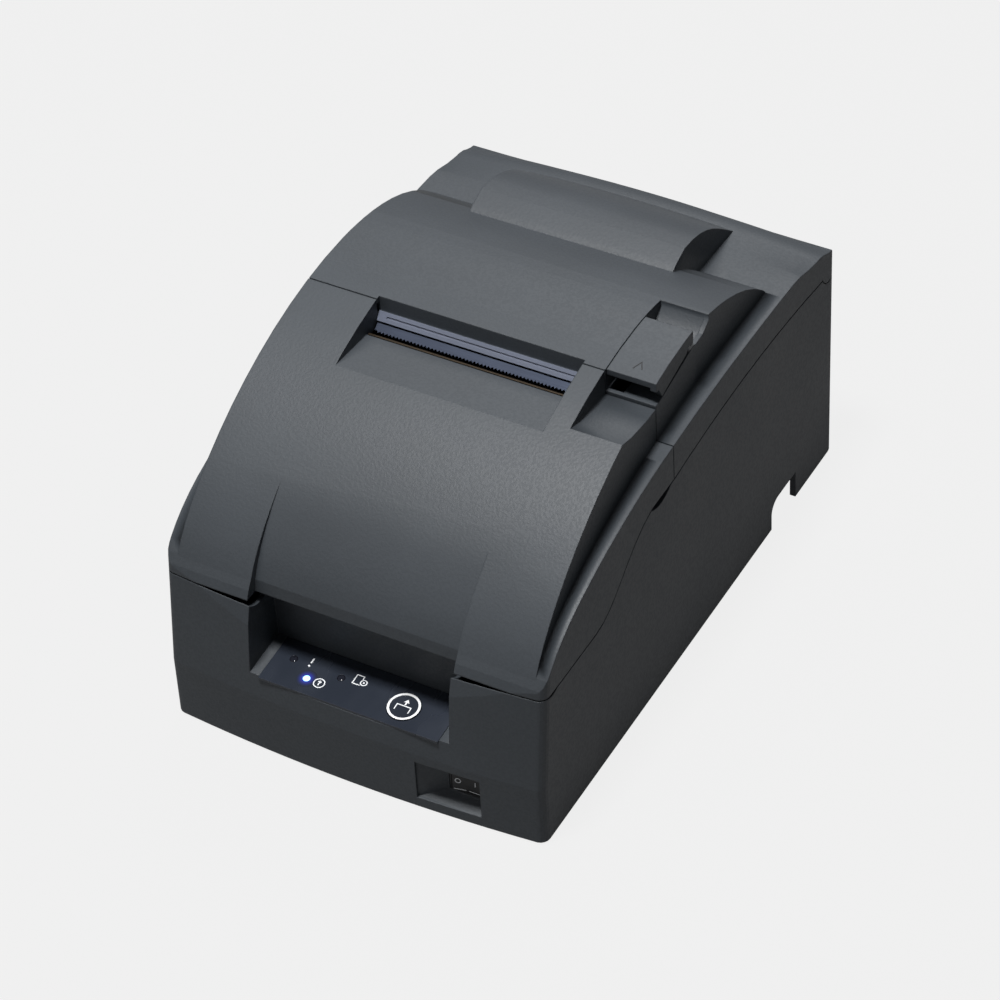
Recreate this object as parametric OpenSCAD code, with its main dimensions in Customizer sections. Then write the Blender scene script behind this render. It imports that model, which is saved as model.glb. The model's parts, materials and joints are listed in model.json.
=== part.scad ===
// Impact receipt printer with a drop-in paper roll, a ribbon cassette under a
// front cover and an automatic paper cutter.
// Origin: middle of the footprint at the resting surface. X to the right when
// facing the front, Y to the back, Z up. Millimetres.

/* [Case] */
// Overall width, side to side
case_w = 160; // [159:0.5:166]
// Overall depth, front to back
case_d = 252; // [249:0.5:256]
// Height of the crest of the raised band
crest_h = 138.5; // [138:0.5:142]
// Height of the flat rear deck at the sides
deck_h = 112; // [111.5:0.25:113]
// Thickness of the moulded shells
wall = 2.5; // [2:0.1:2.8]
// How far the front bulges in plan
front_bow = 4; // [3:0.25:5]
// Radius of the upright case corners
corner_r = 4; // [3:0.5:7]
// Thickness of the rubber feet
foot_h = 0.8; // [0.6:0.1:2]
// Running gap between the covers and the case
cover_gap = 0.6; // [0.4:0.05:0.8]

/* [Covers] */
// Height of the split between front cover and case
split_h = 70; // [69:0.25:71]
// Where the two covers meet, front to back
seam_y = -14.5; // [-15:0.25:-14]
// Half width of the raised band at its front end
band_front = 75.5; // [74.5:0.25:76]
// Half width of the raised band at its rear end
band_rear = 72.3; // [72:0.1:73]
// Half width of the rear hump and of the paper slot recess
slot_half = 43.5; // [42.5:0.25:44]
// Length of the slot recess in front of the seam
slot_run = 31.7; // [30:0.25:33]
// Opening angle of the front cover
front_open = 70; // [40:1:75]
// Opening angle of the rear cover
rear_open = 75; // [40:1:80]
// Left edge of the cover lever
lever_x = 52.5; // [52:0.25:53]
// Length of the cover lever behind the seam
lever_run = 32; // [30:0.5:34]
// Depth of the finger scoop at the seam
scoop_drop = 11; // [9:0.5:12]

/* [Control panel] */
// Half width of the panel recess at its front
panel_half = 42.5; // [41.5:0.25:43]
// Height of the panel floor at its front edge
panel_z = 38.2; // [37.5:0.1:39]
// Depth of the panel recess
panel_run = 23.2; // [22:0.2:24]
// Slope of the panel floor in degrees
panel_tilt = 5.5; // [4:0.25:7]
// Radius of the feed button
button_r = 6.4; // [5.6:0.1:7]
// Travel of the feed button
button_travel = 0.8; // [0.4:0.1:1]
// Width of the power rocker
rocker_w = 14; // [12:0.5:14.5]
// Height of the power rocker
rocker_h = 10; // [8:0.5:11]

/* [Paper path] */
// Radius of the roll bin
bin_r = 44; // [43:0.25:44.5]
// Inside width of the roll bin
bin_w = 80; // [78:0.5:81]
// Height of the print line
print_z = 92; // [91.5:0.25:92.5]
// Front face of the platen, behind the seam
platen_back = -3.5; // [-3.6:0.1:-3.3]
// Radius of the paper feed roller
feed_r = 6; // [5.8:0.05:6.1]
// Radius of the pinch rollers
pinch_r = 5; // [4.5:0.1:5.2]
// Teeth pitch of the tear bar
tear_pitch = 1.5; // [1.2:0.1:2]

/* [Print mechanism] */
// Inside half width of the steel frame
frame_half = 62; // [61.6:0.1:62.4]
// Thickness of the frame plates
plate_t = 1.5; // [1.2:0.1:1.8]
// Height of the frame floor
frame_z = 28; // [27.5:0.25:28.5]
// Diameter of the rear guide shaft
shaft_d = 6; // [5:0.5:7]
// Diameter of the front guide shaft
front_shaft_d = 5; // [4:0.5:6]
// Height of both guide shafts
shaft_z = 61; // [60.5:0.25:62]
// Travel of the carriage
carriage_travel = 66; // [60:1:66]
// Radius of the belt pulleys
pulley_r = 6; // [5.5:0.1:6.3]
// Thickness of the carriage belt
belt_t = 1.2; // [0.8:0.1:1.5]
// Number of cooling fins on the print head
fin_count = 6; // [4:1:7]
// Radial clearance of every running shaft
run_fit = 0.05; // [0.02:0.01:0.08]

/* [Gears] */
// Gear module
gear_m = 1; // [1:0.05:1.02]
// Teeth of the feed motor pinion
pinion_n = 12; // [12:1:13]
// Teeth of the intermediate gear
idler_n = 40; // [40:1:41]
// Teeth of the feed roller gear
roller_n = 24; // [24:1:25]

/* [Hidden] */

$fn = 64;
half_w = case_w / 2;
front_y = -case_d / 2;
back_y = case_d / 2;
eps = 0.01;
far = 300;

// Plan: leaning upper front
lean_z = 28;
lean_deg = 6.2;
// The band narrows in plan as far back as this
taper_end = seam_y + 34.5;
// Split line between the rear cover and the case: a long shallow arc
split_mid_y = back_y - 74;
split_mid_z = deck_h - 13.2;
split_arc_r = 500;
// Hinge axes
front_pivot = [front_y + 14.7, split_h + 5.3];
rear_pivot = [back_y - 5.6, deck_h - 15.5];
pin_r = 1.5;
ear_r = 2.8;
lobe_r = 5.85;
lobe_gap = 0.45;
relief_gap = 0.3;
hinge_ear_x = 62;
hinge_ear_w = 4;
barrel_gap = 0.4;
barrel_w = 6;
bore_end = hinge_ear_x + hinge_ear_w + barrel_gap + barrel_w;
// Print mechanism places, front to back
platen_y = seam_y + platen_back;
feed_axis = [platen_y - 0.9 - feed_r, print_z + 14];
pinch_axis = [platen_y + pinch_r - 0.4, feed_axis[1]];
head_tip_y = platen_y - 2.4;
ribbon_y = platen_y - 2;
rear_shaft_y = seam_y - 29.5;
front_shaft_y = seam_y - 63.5;
belt_y = seam_y - 43.5;
belt_z = 46;
belt_w = 6;
pulley_x = 48;
home_x = -carriage_travel / 2;
carriage_half = 14;
carriage_z = 55;
carriage_top = 70;
frame_front = seam_y - 79.5;
frame_back = seam_y + 18.5;
frame_top = print_z + 19;
feed_shaft_r = 2.5;
pinch_shaft_r = 1.5;
// Feed train: motor low, intermediate gear between motor and roller
motor_axis = [feed_axis[0] + 3, feed_axis[1] - 57];
reach_a = gear_m * (pinion_n + idler_n) / 2;
reach_b = gear_m * (idler_n + roller_n) / 2;
train = [feed_axis[0] - motor_axis[0], feed_axis[1] - motor_axis[1]];
span = norm(train);
along = (reach_a * reach_a - reach_b * reach_b + span * span) / (2 * span);
aside = sqrt(reach_a * reach_a - along * along);
idler_axis = motor_axis + along * train / span + aside * [-train[1], train[0]] / span;
gear_x = -frame_half - 8;
gear_w = 5;
// Roll bin
bin_axis = [seam_y + 68.5, 74];
bin_rim = 92;
// Cutter, above the feed roller
cutter_z = crest_h - 25.5;
cutter_half = 56;
blade_half = 40;
blade_travel = 7;
cutter_m = 0.5;
cutter_n = 20;
cutter_pinion_axis = [seam_y - 25, cutter_z - 3];
rack_x = 22;
// Latch
latch_axis = [seam_y + 28.5, crest_h - 6.8];
latch_shaft_r = 2;
latch_x = 54;
latch_w = 4;
stud_r = 2;
stud = [seam_y + 16.5, print_z + 4];
// Bottom
base_z = foot_h;
base_t = 2;
bay_y = back_y - 64;
bay_top = 24;
post_x = 56;
post_ys = [frame_front + 10, frame_back - 8];
board_z = 9;
board_t = 1.6;
screw_x = 70;
screw_ys = [front_y + 18, bay_y - 12];

// ---------------------------------------------------------------- helpers
function mix(p, q, t) = p * (1 - t) + q * t;
function curve(a, b, c, d, n) = [for (i = [0:n])
    let (t = i / n, s = 1 - t)
    s*s*s*a + 3*s*s*t*b + 3*s*t*t*c + t*t*t*d];
function arc(c, r, a0, a1, n) = [for (i = [0:n])
    let (a = a0 + (a1 - a0) * i / n) c + r * [cos(a), sin(a)]];
// Moves an open line of points to its right-hand side by d
function inward(p, d) = [for (i = [0:len(p) - 1])
    let (a = p[max(i - 1, 0)], b = p[min(i + 1, len(p) - 1)], t = (b - a) / norm(b - a))
    p[i] + d * [t[1], -t[0]]];
function split_z(y) = split_mid_z - (y - split_mid_y) * (y - split_mid_y) / (2 * split_arc_r);
function face_y(x) = front_y + front_bow * x * x / (half_w * half_w);
// Front of the plan outline at x, corners included
function corner_y(x) = let (e = min(max(abs(x) - half_w + corner_r, 0), corner_r))
    face_y(min(abs(x), half_w - corner_r)) + corner_r - sqrt(corner_r * corner_r - e * e);
function upper_face_y(x) = corner_y(x) + (split_h - lean_z) * tan(lean_deg);
function panel_floor(y) = panel_z + (y - front_y) * tan(panel_tilt);
function band_half(y) = mix(band_front, band_rear, min((y - front_y) / (taper_end - front_y), 1));

module block(x0, x1, y0, y1, z0, z1) {
    translate([x0, y0, z0]) cube([x1 - x0, y1 - y0, z1 - z0]);
}
module rod_x(r, x0, x1, p) {
    translate([x0, p[0], p[1]]) rotate([0, 90, 0]) cylinder(r = r, h = x1 - x0);
}
module rod_y(r, y0, y1, x, z) {
    translate([x, y1, z]) rotate([90, 0, 0]) cylinder(r = r, h = y1 - y0);
}
module rod_z(r, z0, z1, x, y) {
    translate([x, y, z0]) cylinder(r = r, h = z1 - z0);
}
// A side profile (points are [y, z]) drawn out between x0 and x1
module side_prism(points, x0, x1) {
    translate([x0, 0, 0]) rotate([90, 0, 90]) linear_extrude(height = x1 - x0) polygon(points);
}
module both_sides() {
    children();
    mirror([1, 0, 0]) children();
}
// Spur gear outline with straight-flanked teeth; phase turns it anticlockwise
module gear_shape(n, m, phase) {
    r = n * m / 2;
    step = 360 / n;
    polygon([for (i = [0:n - 1], k = [0:3])
        let (rr = (k == 1 || k == 2) ? r + 0.85 * m : r - 1.15 * m,
             da = (k == 1 || k == 2) ? 0.11 : 0.27,
             side = k < 2 ? -1 : 1)
        rr * [cos(phase + (i + side * da) * step), sin(phase + (i + side * da) * step)]]);
}
module gear_x(n, m, phase, axis, x0, w, bore) {
    translate([x0, axis[0], axis[1]]) rotate([90, 0, 90]) difference() {
        linear_extrude(height = w) gear_shape(n, m, phase);
        translate([0, 0, -1]) cylinder(r = bore, h = w + 2);
    }
}

// ---------------------------------------------------------------- outer form
// Top line of the full-width body, front to back
ledge_line = concat(
    curve([front_y + 7.3, split_h], [front_y + 10.5, split_h + 10],
          [front_y + 23, deck_h - 21], [front_y + 42.8, deck_h - 15], 8),
    curve([front_y + 45, deck_h - 14.2], [front_y + 62, deck_h - 8.5],
          [seam_y - 25, deck_h - 3], [seam_y, deck_h - 1.7], 8),
    curve([seam_y + 8, deck_h - 1.1], [seam_y + 35, deck_h + 1.4],
          [back_y - 56, deck_h + 1.4], [back_y - 17, deck_h - 0.7], 8),
    arc([back_y - 17, deck_h - 17.7], 17, 82, 0, 7));
// Top line of the raised band
band_line = concat(
    curve([front_y + 11, split_h + 7], [front_y + 22.5, split_h + 31],
          [seam_y - 37.5, crest_h], [seam_y + 24.5, crest_h], 14),
    curve([seam_y + 30, crest_h - 0.1], [seam_y + 44, crest_h - 0.8],
          [back_y - 64, crest_h - 5.5], [back_y - 43, deck_h - 4], 10));
// Top line of the rear hump
hump_line = concat([[back_y - 74, crest_h - 14], [back_y - 66.2, crest_h - 9]],
    curve([back_y - 58.7, crest_h - 6.5], [back_y - 40, crest_h - 6.5],
          [back_y - 29, deck_h + 8.5], [back_y - 17, deck_h - 1], 8));
// Plan outline with a bowed front and rounded corners
function plan(inset, extra) = let (
        w = half_w - inset, r = corner_r, y1 = back_y - inset + extra,
        yc = face_y(w - r) + inset)
    concat([for (i = [-8:8]) let (x = i / 8 * (w - r)) [x, face_y(x) + inset]],
        arc([w - r, yc + r], r, -80, 0, 4),
        arc([w - r, y1 - r], r, 0, 90, 4),
        arc([r - w, y1 - r], r, 90, 180, 4),
        arc([r - w, yc + r], r, 180, 260, 4));
module profile_prism(line, inset, half) {
    p = inward(line, inset);
    side_prism(concat([[p[0][0], base_z - inset]], p,
        [[p[len(p) - 1][0], base_z - inset]]), -half, half);
}
// The closed outer form, or with an inset the space inside its walls
module form(inset) {
    intersection() {
        union() {
            profile_prism(concat([[front_y - 4, lean_z]], ledge_line), inset, half_w + 4);
            intersection() {
                profile_prism(band_line, inset, half_w);
                translate([0, 0, base_z - inset]) linear_extrude(height = far)
                    polygon([[inset - band_front, front_y], [band_front - inset, front_y],
                        [band_rear - inset, taper_end], [band_rear - inset, back_y],
                        [inset - band_rear, back_y], [inset - band_rear, taper_end]]);
            }
            profile_prism(hump_line, inset, slot_half + 0.5 - inset);
        }
        translate([0, 0, base_z - inset]) linear_extrude(height = far) polygon(plan(inset, 0));
        translate([0, front_y, lean_z]) rotate([-lean_deg, 0, 0])
            translate([0, -front_y, -far / 2]) linear_extrude(height = far) polygon(plan(inset, 60));
    }
}
module shell() {
    difference() {
        form(0);
        form(wall);
    }
}
// Lower edge of the front cover, seen from the side
front_edge = concat([[front_y - 20, split_h]],
    curve([front_y + 48, split_h], [front_y + 64, split_h],
          [front_y + 74, deck_h - 22], [seam_y - 18, deck_h - 18], 8),
    [[seam_y, split_z(seam_y)]]);
rear_edge = [for (i = [0:10]) let (y = mix(seam_y, back_y + 1, i / 10)) [y, split_z(y)]];
function lowered(p, d) = [for (q = p) [q[0], q[1] - d]];

module case_region() {
    side_prism(concat([[front_y - 20, -1]], lowered(front_edge, cover_gap),
        lowered(rear_edge, cover_gap), [[back_y + 1, -1]]), -far, far);
}
module front_region() {
    difference() {
        side_prism(concat(front_edge, [[seam_y, far], [front_y - 20, far]]), -far, far);
        block(-far, far, seam_y - cover_gap / 2, far, 0, far);
    }
}
module rear_region() {
    difference() {
        side_prism(concat(rear_edge, [[back_y + 1, far], [seam_y, far]]), -far, far);
        block(-far, far, -far, seam_y + cover_gap / 2, 0, far);
        block(-far, far, rear_pivot[0], back_y + 1, 0, rear_pivot[1]);
    }
    intersection() {
        rod_x(lobe_r, -far, far, rear_pivot);
        block(-far, far, rear_pivot[0] - lobe_r, back_y + 1, 0, rear_pivot[1]);
    }
}
// What the front wall of the front cover sweeps as it swings down
module front_sweep() {
    stations = concat([for (a = [-90:15:-15]) corner_r - half_w + corner_r * sin(a)],
        [for (i = [-8:8]) i / 8 * (half_w - corner_r)],
        [for (a = [15:15:90]) half_w - corner_r + corner_r * sin(a)]);
    radii = [for (x = stations) norm([upper_face_y(x) - front_pivot[0],
        front_pivot[1] - split_h]) + relief_gap];
    translate([0, front_pivot[0], front_pivot[1]]) rotate([0, 90, 0]) rotate_extrude($fn = 72)
        polygon(concat([[0, stations[0]]],
            [for (i = [0:len(stations) - 1]) [radii[i], stations[i]]],
            [[0, stations[len(stations) - 1]]]));
}

// ---------------------------------------------------------------- case
recess_back = front_y + panel_run;
recess_wall = 2;
panel_border = 4;
module panel_recess(grow, drop) {
    side_prism([[front_y - 5, panel_floor(front_y - 5) - drop],
        [recess_back + grow, panel_floor(recess_back + grow) - drop],
        [recess_back + grow, split_h + 8], [front_y - 5, split_h + 8]],
        -panel_half - grow, panel_half + grow);
}
switch_x = 46;
switch_z = 14.5;
switch_y = front_y + 7;
pocket = [28, 54.5, 5, 24];
module switch_pocket(grow, deep) {
    intersection() {
        side_prism([[front_y - 5, pocket[2] - grow], [front_y + 2, pocket[2] + 0.5 - grow],
            [switch_y + deep, pocket[2] + 3.5 - grow], [switch_y + deep, pocket[3] + grow],
            [front_y - 5, pocket[3] + grow]], pocket[0] - grow, pocket[1] + grow);
        linear_extrude(height = 60) polygon([[pocket[0] - grow, front_y - 5],
            [pocket[0] - grow, front_y + 1.5], [switch_x - rocker_w / 2 - 1 - grow, switch_y + deep],
            [pocket[1] + grow, switch_y + deep], [pocket[1] + grow, front_y - 5]]);
    }
}
module front_arm() {
    rod_x(ear_r, hinge_ear_x, hinge_ear_x + hinge_ear_w, front_pivot);
    side_prism([front_pivot + [0, ear_r], front_pivot + [8, 0], front_pivot + [9.5, -8],
        front_pivot + [9.5, -20], front_pivot + [6.5, -20], front_pivot + [6.5, -8],
        front_pivot + [2.4, -1.4]], hinge_ear_x, hinge_ear_x + hinge_ear_w);
    block(hinge_ear_x, half_w - wall + 0.5, front_pivot[0] + 6.5, front_pivot[0] + 9.5,
        front_pivot[1] - 20, split_h - 3);
}
module rear_arm() {
    rod_x(ear_r - 0.2, hinge_ear_x, hinge_ear_x + hinge_ear_w, rear_pivot);
    side_prism([rear_pivot + [0, 2.6], rear_pivot + [-7, 0], rear_pivot + [-10, -9],
        rear_pivot + [-10, -24], rear_pivot + [-7.5, -24], rear_pivot + [-7.5, -9],
        rear_pivot + [-2.6, -0.8]], hinge_ear_x, hinge_ear_x + hinge_ear_w);
    block(hinge_ear_x, half_w - wall + 0.5, rear_pivot[0] - 10, rear_pivot[0] - 7.5,
        rear_pivot[1] - 24, rear_pivot[1] - 9.5);
}
notch_y = [back_y - 57, back_y - 35];
notch_h = 14;
module lower_case() {
    color("#3a3d40") difference() {
        union() {
            difference() {
                intersection() {
                    shell();
                    case_region();
                }
                front_sweep();
                rod_x(lobe_r + lobe_gap, -far, far, rear_pivot);
                // Way for the cover's back face as it swings down
                side_prism([rear_pivot + [1, -5.95], rear_pivot + [8, -4.1], rear_pivot + [8, 5],
                    rear_pivot + [1, 5]], -far, far);
            }
            intersection() {
                form(eps);
                union() {
                    difference() {
                        panel_recess(recess_wall, recess_wall);
                        block(-far, far, -far, recess_back, split_h - cover_gap, far);
                        block(-far, -panel_half, -far, far, split_h - cover_gap, far);
                        block(panel_half, far, -far, far, split_h - cover_gap, far);
                        // The wall behind the recess ends below the cover's swing
                        block(-far, far, -far, far, split_h + 6, far);
                        front_sweep();
                    }
                    switch_pocket(1.5, 1.5);
                }
            }
            both_sides() {
                front_arm();
                rear_arm();
                for (y = screw_ys) rod_z(4, base_z + base_t, 16, screw_x, y);
                for (y = screw_ys) block(screw_x, half_w - wall + 0.5, y - 1, y + 1, base_z + base_t, 16);
                intersection() {
                    form(eps);
                    block(62, far, back_y - 16, back_y, base_z, base_z + base_t);
                }
            }
        }
        panel_recess(0, 0);
        // Seat of the dark control panel in the recess floor
        side_prism([[front_y + 1, panel_floor(front_y + 1) - 1], [recess_back,
            panel_floor(recess_back) - 1],
            [recess_back, split_h], [front_y + 1, split_h]], -panel_half + panel_border,
                panel_half - panel_border);
        // Holes for the feed button and the lamps under the panel
        panel_place(button_at) cylinder(r = button_r + 0.6, h = 12, center = true);
        for (p = lamp_at) panel_place(p) cylinder(r = 2, h = 12, center = true);
        switch_pocket(0, 0);
        block(switch_x - rocker_w / 2 - 0.5, switch_x + rocker_w / 2 + 0.5, switch_y - 1, switch_y + 3,
            switch_z - rocker_h / 2 - 0.5, switch_z + rocker_h / 2 + 0.5);
        // Cable notch at the bottom of the right side
        difference() {
            block(half_w - wall - 1, half_w + 1, notch_y[0], notch_y[1], -1, notch_h);
            difference() {
                block(half_w - wall - 2, half_w + 2, notch_y[0] - 1, notch_y[0] + 6, notch_h - 6,
                    notch_h + 1);
                rod_x(6, half_w - wall - 3, half_w + 3, [notch_y[0] + 6, notch_h - 6]);
            }
        }
        // Cable way out at the back
        block(-30, 30, back_y - wall - 1, back_y + 1, -1, notch_h);
        // Finger scoops in both side edges
        both_sides() rod_x(14, half_w - wall - 1, half_w + 1,
            [seam_y - 11, split_z(seam_y) + 10.6]);
        both_sides() {
            rod_x(pin_r, hinge_ear_x - 1, hinge_ear_x + hinge_ear_w + 1, front_pivot);
            rod_x(pin_r, hinge_ear_x - 1, hinge_ear_x + hinge_ear_w + 1, rear_pivot);
            for (y = screw_ys) rod_z(1.3, 0, 14, screw_x, y);
        }
    }
}
module bottom_cover() {
    inset = wall + 0.3;
    color("#2b2d30") difference() {
        union() {
            intersection() {
                translate([0, 0, base_z]) linear_extrude(height = 60) polygon(plan(inset, 0));
                union() {
                    block(-far, far, -far, bay_y, base_z, base_z + base_t);
                    block(-far, far, bay_y - base_t, bay_y, base_z, bay_top);
                    block(-far, far, bay_y - base_t, far, bay_top - base_t, bay_top);
                }
            }
            both_sides() for (y = post_ys) rod_z(4, base_z + base_t - eps, frame_z, post_x, y);
            both_sides() for (y = [frame_front + 30, bay_y - 22]) rod_z(3, base_z + base_t - eps,
                board_z, 45, y);
        }
        both_sides() for (y = screw_ys) {
            rod_z(1.6, 0, 8, screw_x, y);
            rod_z(3.2, 0, base_z + 1.2, screw_x, y);
        }
        both_sides() for (y = post_ys) rod_z(1.45, 16, frame_z + 1, post_x, y);
        // Windows for the three connectors
        block(-43, -25, bay_y - 4, bay_y + 1, board_z + board_t, bay_top - base_t - eps);
        block(-9, 7, bay_y - 4, bay_y + 1, board_z + board_t, bay_top - base_t - eps);
        block(19, 41, bay_y - 4, bay_y + 1, board_z + board_t, bay_top - base_t - eps);
        // Case bosses stand on the plate, hinge-side pads are left free
        both_sides() block(61.5, far, back_y - 16.5, back_y, base_z - 1, base_z + base_t + 0.5);
    }
}
foot_ys = [front_y + 26, back_y - 12];
module rubber_feet() {
    color("#1c1c1e") {
        both_sides() rod_z(6, 0, foot_h, 64, foot_ys[0]);
        both_sides() rod_z(5, 0, foot_h, 70, foot_ys[1]);
    }
}

// ---------------------------------------------------------------- control panel
button_at = [18.9, 10.7];
lamp_at = [[-21.3, 8.1], [-9.5, 13.5], [-30.5, 14.5]];
board_at = 14.5;
// Places children on the panel floor: p is [x, distance behind the front edge]
module panel_place(p) {
    translate([p[0], front_y + p[1], panel_floor(front_y + p[1])])
        rotate([panel_tilt, 0, 0]) children();
}
module control_panel() {
    color("#15161a") difference() {
        side_prism([[front_y + 1.2, panel_floor(front_y + 1.2) - 0.95],
            [recess_back - 0.2, panel_floor(recess_back - 0.2) - 0.95],
            [recess_back - 0.2, panel_floor(recess_back - 0.2)],
            [front_y + 1.2, panel_floor(front_y + 1.2)]], -panel_half + panel_border + 0.2,
            panel_half - panel_border - 0.2);
        panel_place(button_at) cylinder(r = button_r + 0.25, h = 8, center = true);
        for (p = lamp_at) panel_place(p) cylinder(r = 1.6, h = 8, center = true);
    }
}
module status_lamps() {
    color("#3d6bff") for (p = lamp_at) panel_place(p)
        translate([0, 0, -3.4]) cylinder(r = 1.5, h = 3.5);
}
module feed_button() {
    color("#17181c") panel_place(button_at) {
        translate([0, 0, -2.6]) cylinder(r = button_r, h = 2.9);
        translate([0, 0, -3.4]) cylinder(r = 2, h = 1);
    }
}
module panel_board() {
    color("#1f5b3a") panel_place([0, board_at]) difference() {
        union() {
            translate([-36, -8.5, -6.6]) cube([72, 17, 1.4]);
            translate([button_at[0] - 3, button_at[1] - board_at - 3, -5.3]) cube([6, 6, 0.9]);
            for (x = [-34, 34]) translate([x, 0, -5.3]) cylinder(r = 1.8, h = 3.25);
        }
        for (x = [-34, 34]) translate([x, 0, -8]) cylinder(r = 0.8, h = 4);
    }
}
module power_switch_body() {
    color("#1a1a1c") difference() {
        block(switch_x - rocker_w / 2 - 0.3, switch_x + rocker_w / 2 + 0.3, switch_y + 0.05,
            switch_y + 13, switch_z - rocker_h / 2 - 0.3, switch_z + rocker_h / 2 + 0.3);
        block(switch_x - rocker_w / 2 + 0.4, switch_x + rocker_w / 2 - 0.4, switch_y - 1,
            switch_y + 8, switch_z - rocker_h / 2 + 0.4, switch_z + rocker_h / 2 - 0.4);
    }
}
rocker_tilt = 6;
module power_rocker() {
    w = rocker_w / 2 - 0.9;
    h = rocker_h / 2 - 0.8;
    color("#101012") translate([switch_x, switch_y + 3.5, switch_z]) rotate([0, 0, rocker_tilt])
        difference() {
            translate([0, 0, -h]) linear_extrude(height = 2 * h)
                polygon([[-w, -4.2], [0, -3.6], [w, -4.2], [w, 0], [2.5, 1.8], [-2.5, 1.8], [-w, 0]]);
            translate([0, 0, -h - 1]) cylinder(r = 0.8, h = 2 * h + 2);
        }
}

// ---------------------------------------------------------------- front cover
slot_front = seam_y - slot_run;
slot_lip = [seam_y - 9.2, crest_h - 12.2];
// The recess floor meets the cover's surface at slot_front
slot_edge = [slot_front - 6, crest_h - 9.7];
scoop_floor = [[seam_y - 28.5, crest_h - 8.4], [seam_y - 20, crest_h - 10.9],
    [seam_y - 8, crest_h - scoop_drop - 1.7], [seam_y + 1, crest_h - scoop_drop - 2]];
channel_half = 43.5;
channel_deep = 3.3;
channel_steps = 5;
// Floor of the channel, sinking towards its lower end, moved inward by d
function channel_line(d) = let (n = inward(band_line, 1)) [for (i = [0:channel_steps])
    band_line[i] + (channel_deep * (1 - i / channel_steps) + d) * (n[i] - band_line[i])];
module front_barrel() {
    x0 = hinge_ear_x + hinge_ear_w + barrel_gap;
    rod_x(ear_r, x0, x0 + barrel_w, front_pivot);
    block(x0, x0 + barrel_w, front_pivot[0] - 6, front_pivot[0], front_pivot[1] - 2, front_pivot[1] + 2.5);
}
module front_cover() {
    color("#44474b") difference() {
        union() {
            intersection() {
                shell();
                front_region();
            }
            intersection() {
                form(eps);
                front_region();
                union() {
                    // Floor and sides of the paper slot recess
                    side_prism([slot_edge + [0, 0.6], slot_edge - [0, wall], slot_lip - [0, wall],
                        slot_lip + [0, 0.6]], -slot_half - wall, slot_half + wall);
                    both_sides() side_prism([slot_edge + [0, 4], slot_edge - [0, wall],
                        slot_lip - [0, wall], [seam_y, crest_h - 14], [seam_y, crest_h],
                        [slot_front, crest_h]], slot_half, slot_half + wall);
                    // Wall behind the channel
                    side_prism(concat([[front_y + 2, split_h], [channel_line(wall)[0][0] - 0.8, split_h]],
                        channel_line(wall), [[front_y + 2, band_line[channel_steps][1]]]),
                        -channel_half - wall, channel_half + wall);
                    // Floor and inner side of the finger scoop
                    side_prism(concat(scoop_floor, [[seam_y + 1, crest_h - scoop_drop - 2 - wall],
                        [seam_y - 30, crest_h - 12.5], [seam_y - 31, crest_h - 7]]),
                        lever_x - wall, half_w);
                    side_prism([[seam_y - 31, crest_h - 7], [seam_y - 30, crest_h - 12.5],
                        [seam_y + 1, crest_h - scoop_drop - 2 - wall], [seam_y + 1, crest_h],
                        [seam_y - 20, crest_h]], lever_x - wall, lever_x);
                    both_sides() front_barrel();
                }
            }
        }
        // Paper slot recess
        side_prism([slot_edge, slot_lip, [slot_lip[0], crest_h - 20],
            [seam_y + 1, crest_h - 20], [seam_y + 1, far], [slot_edge[0], far]],
            -slot_half, slot_half);
        // Finger scoop, open at the side of the band
        side_prism(concat(scoop_floor, [[seam_y + 1, far], [seam_y - 28.5, far]]), lever_x, far);
        // Shallow channel down the front
        side_prism(concat([[front_y - 20, band_line[channel_steps][1]], [front_y - 20, split_h - 1],
            [channel_line(0)[0][0] - 0.8, split_h - 1]], channel_line(0)), -channel_half, channel_half);
        // Raised lower edge over the control panel
        block(-channel_half, channel_half, front_y - 5, front_y + 13, 0, split_h + 1.5);
        both_sides() {
            rod_x(ear_r + 0.4, hinge_ear_x - 0.4, hinge_ear_x + hinge_ear_w + 0.2, front_pivot);
            rod_x(pin_r + run_fit, hinge_ear_x, bore_end, front_pivot);
        }
    }
}
module front_hinge_pins() {
    color("silver") both_sides() rod_x(pin_r - 0.005, hinge_ear_x + 0.2,
        bore_end - 0.3, front_pivot);
}

// ---------------------------------------------------------------- rear cover
lever_back = seam_y + lever_run;
lever_floor = crest_h - 11.8;
skirt_x = band_rear - 1.6;
module lever_pocket(drop) {
    side_prism([[seam_y - 1, lever_floor - drop], [seam_y + 35, lever_floor + 1 - drop],
        [seam_y + 40 + drop, lever_floor + 3.5 - drop], [seam_y + 45 + drop, lever_floor + 7],
        [seam_y + 46 + drop, far], [seam_y - 1, far]], lever_x - drop, skirt_x - 0.3 + drop);
}
module skirt_cut() {
    side_prism([[seam_y - 1, lever_floor], [seam_y + 5.5, crest_h - 11.6],
        [lever_back + 0.3, crest_h - 7.4], [lever_back + 2, crest_h - 8],
        [seam_y + 40, crest_h - 7.5], [seam_y + 45, crest_h - 4.5],
        [seam_y + 46, far], [seam_y - 1, far]], skirt_x - 1, far);
}
sill = [seam_y + 1.8, crest_h - 8.3];
module rear_barrel() {
    x0 = hinge_ear_x + hinge_ear_w + barrel_gap;
    rod_x(ear_r - 0.2, x0, x0 + barrel_w, rear_pivot);
    block(x0, x0 + barrel_w, rear_pivot[0] - 2, back_y - wall + 0.5, rear_pivot[1] - 1.5,
        rear_pivot[1] + 2.5);
}
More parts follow.
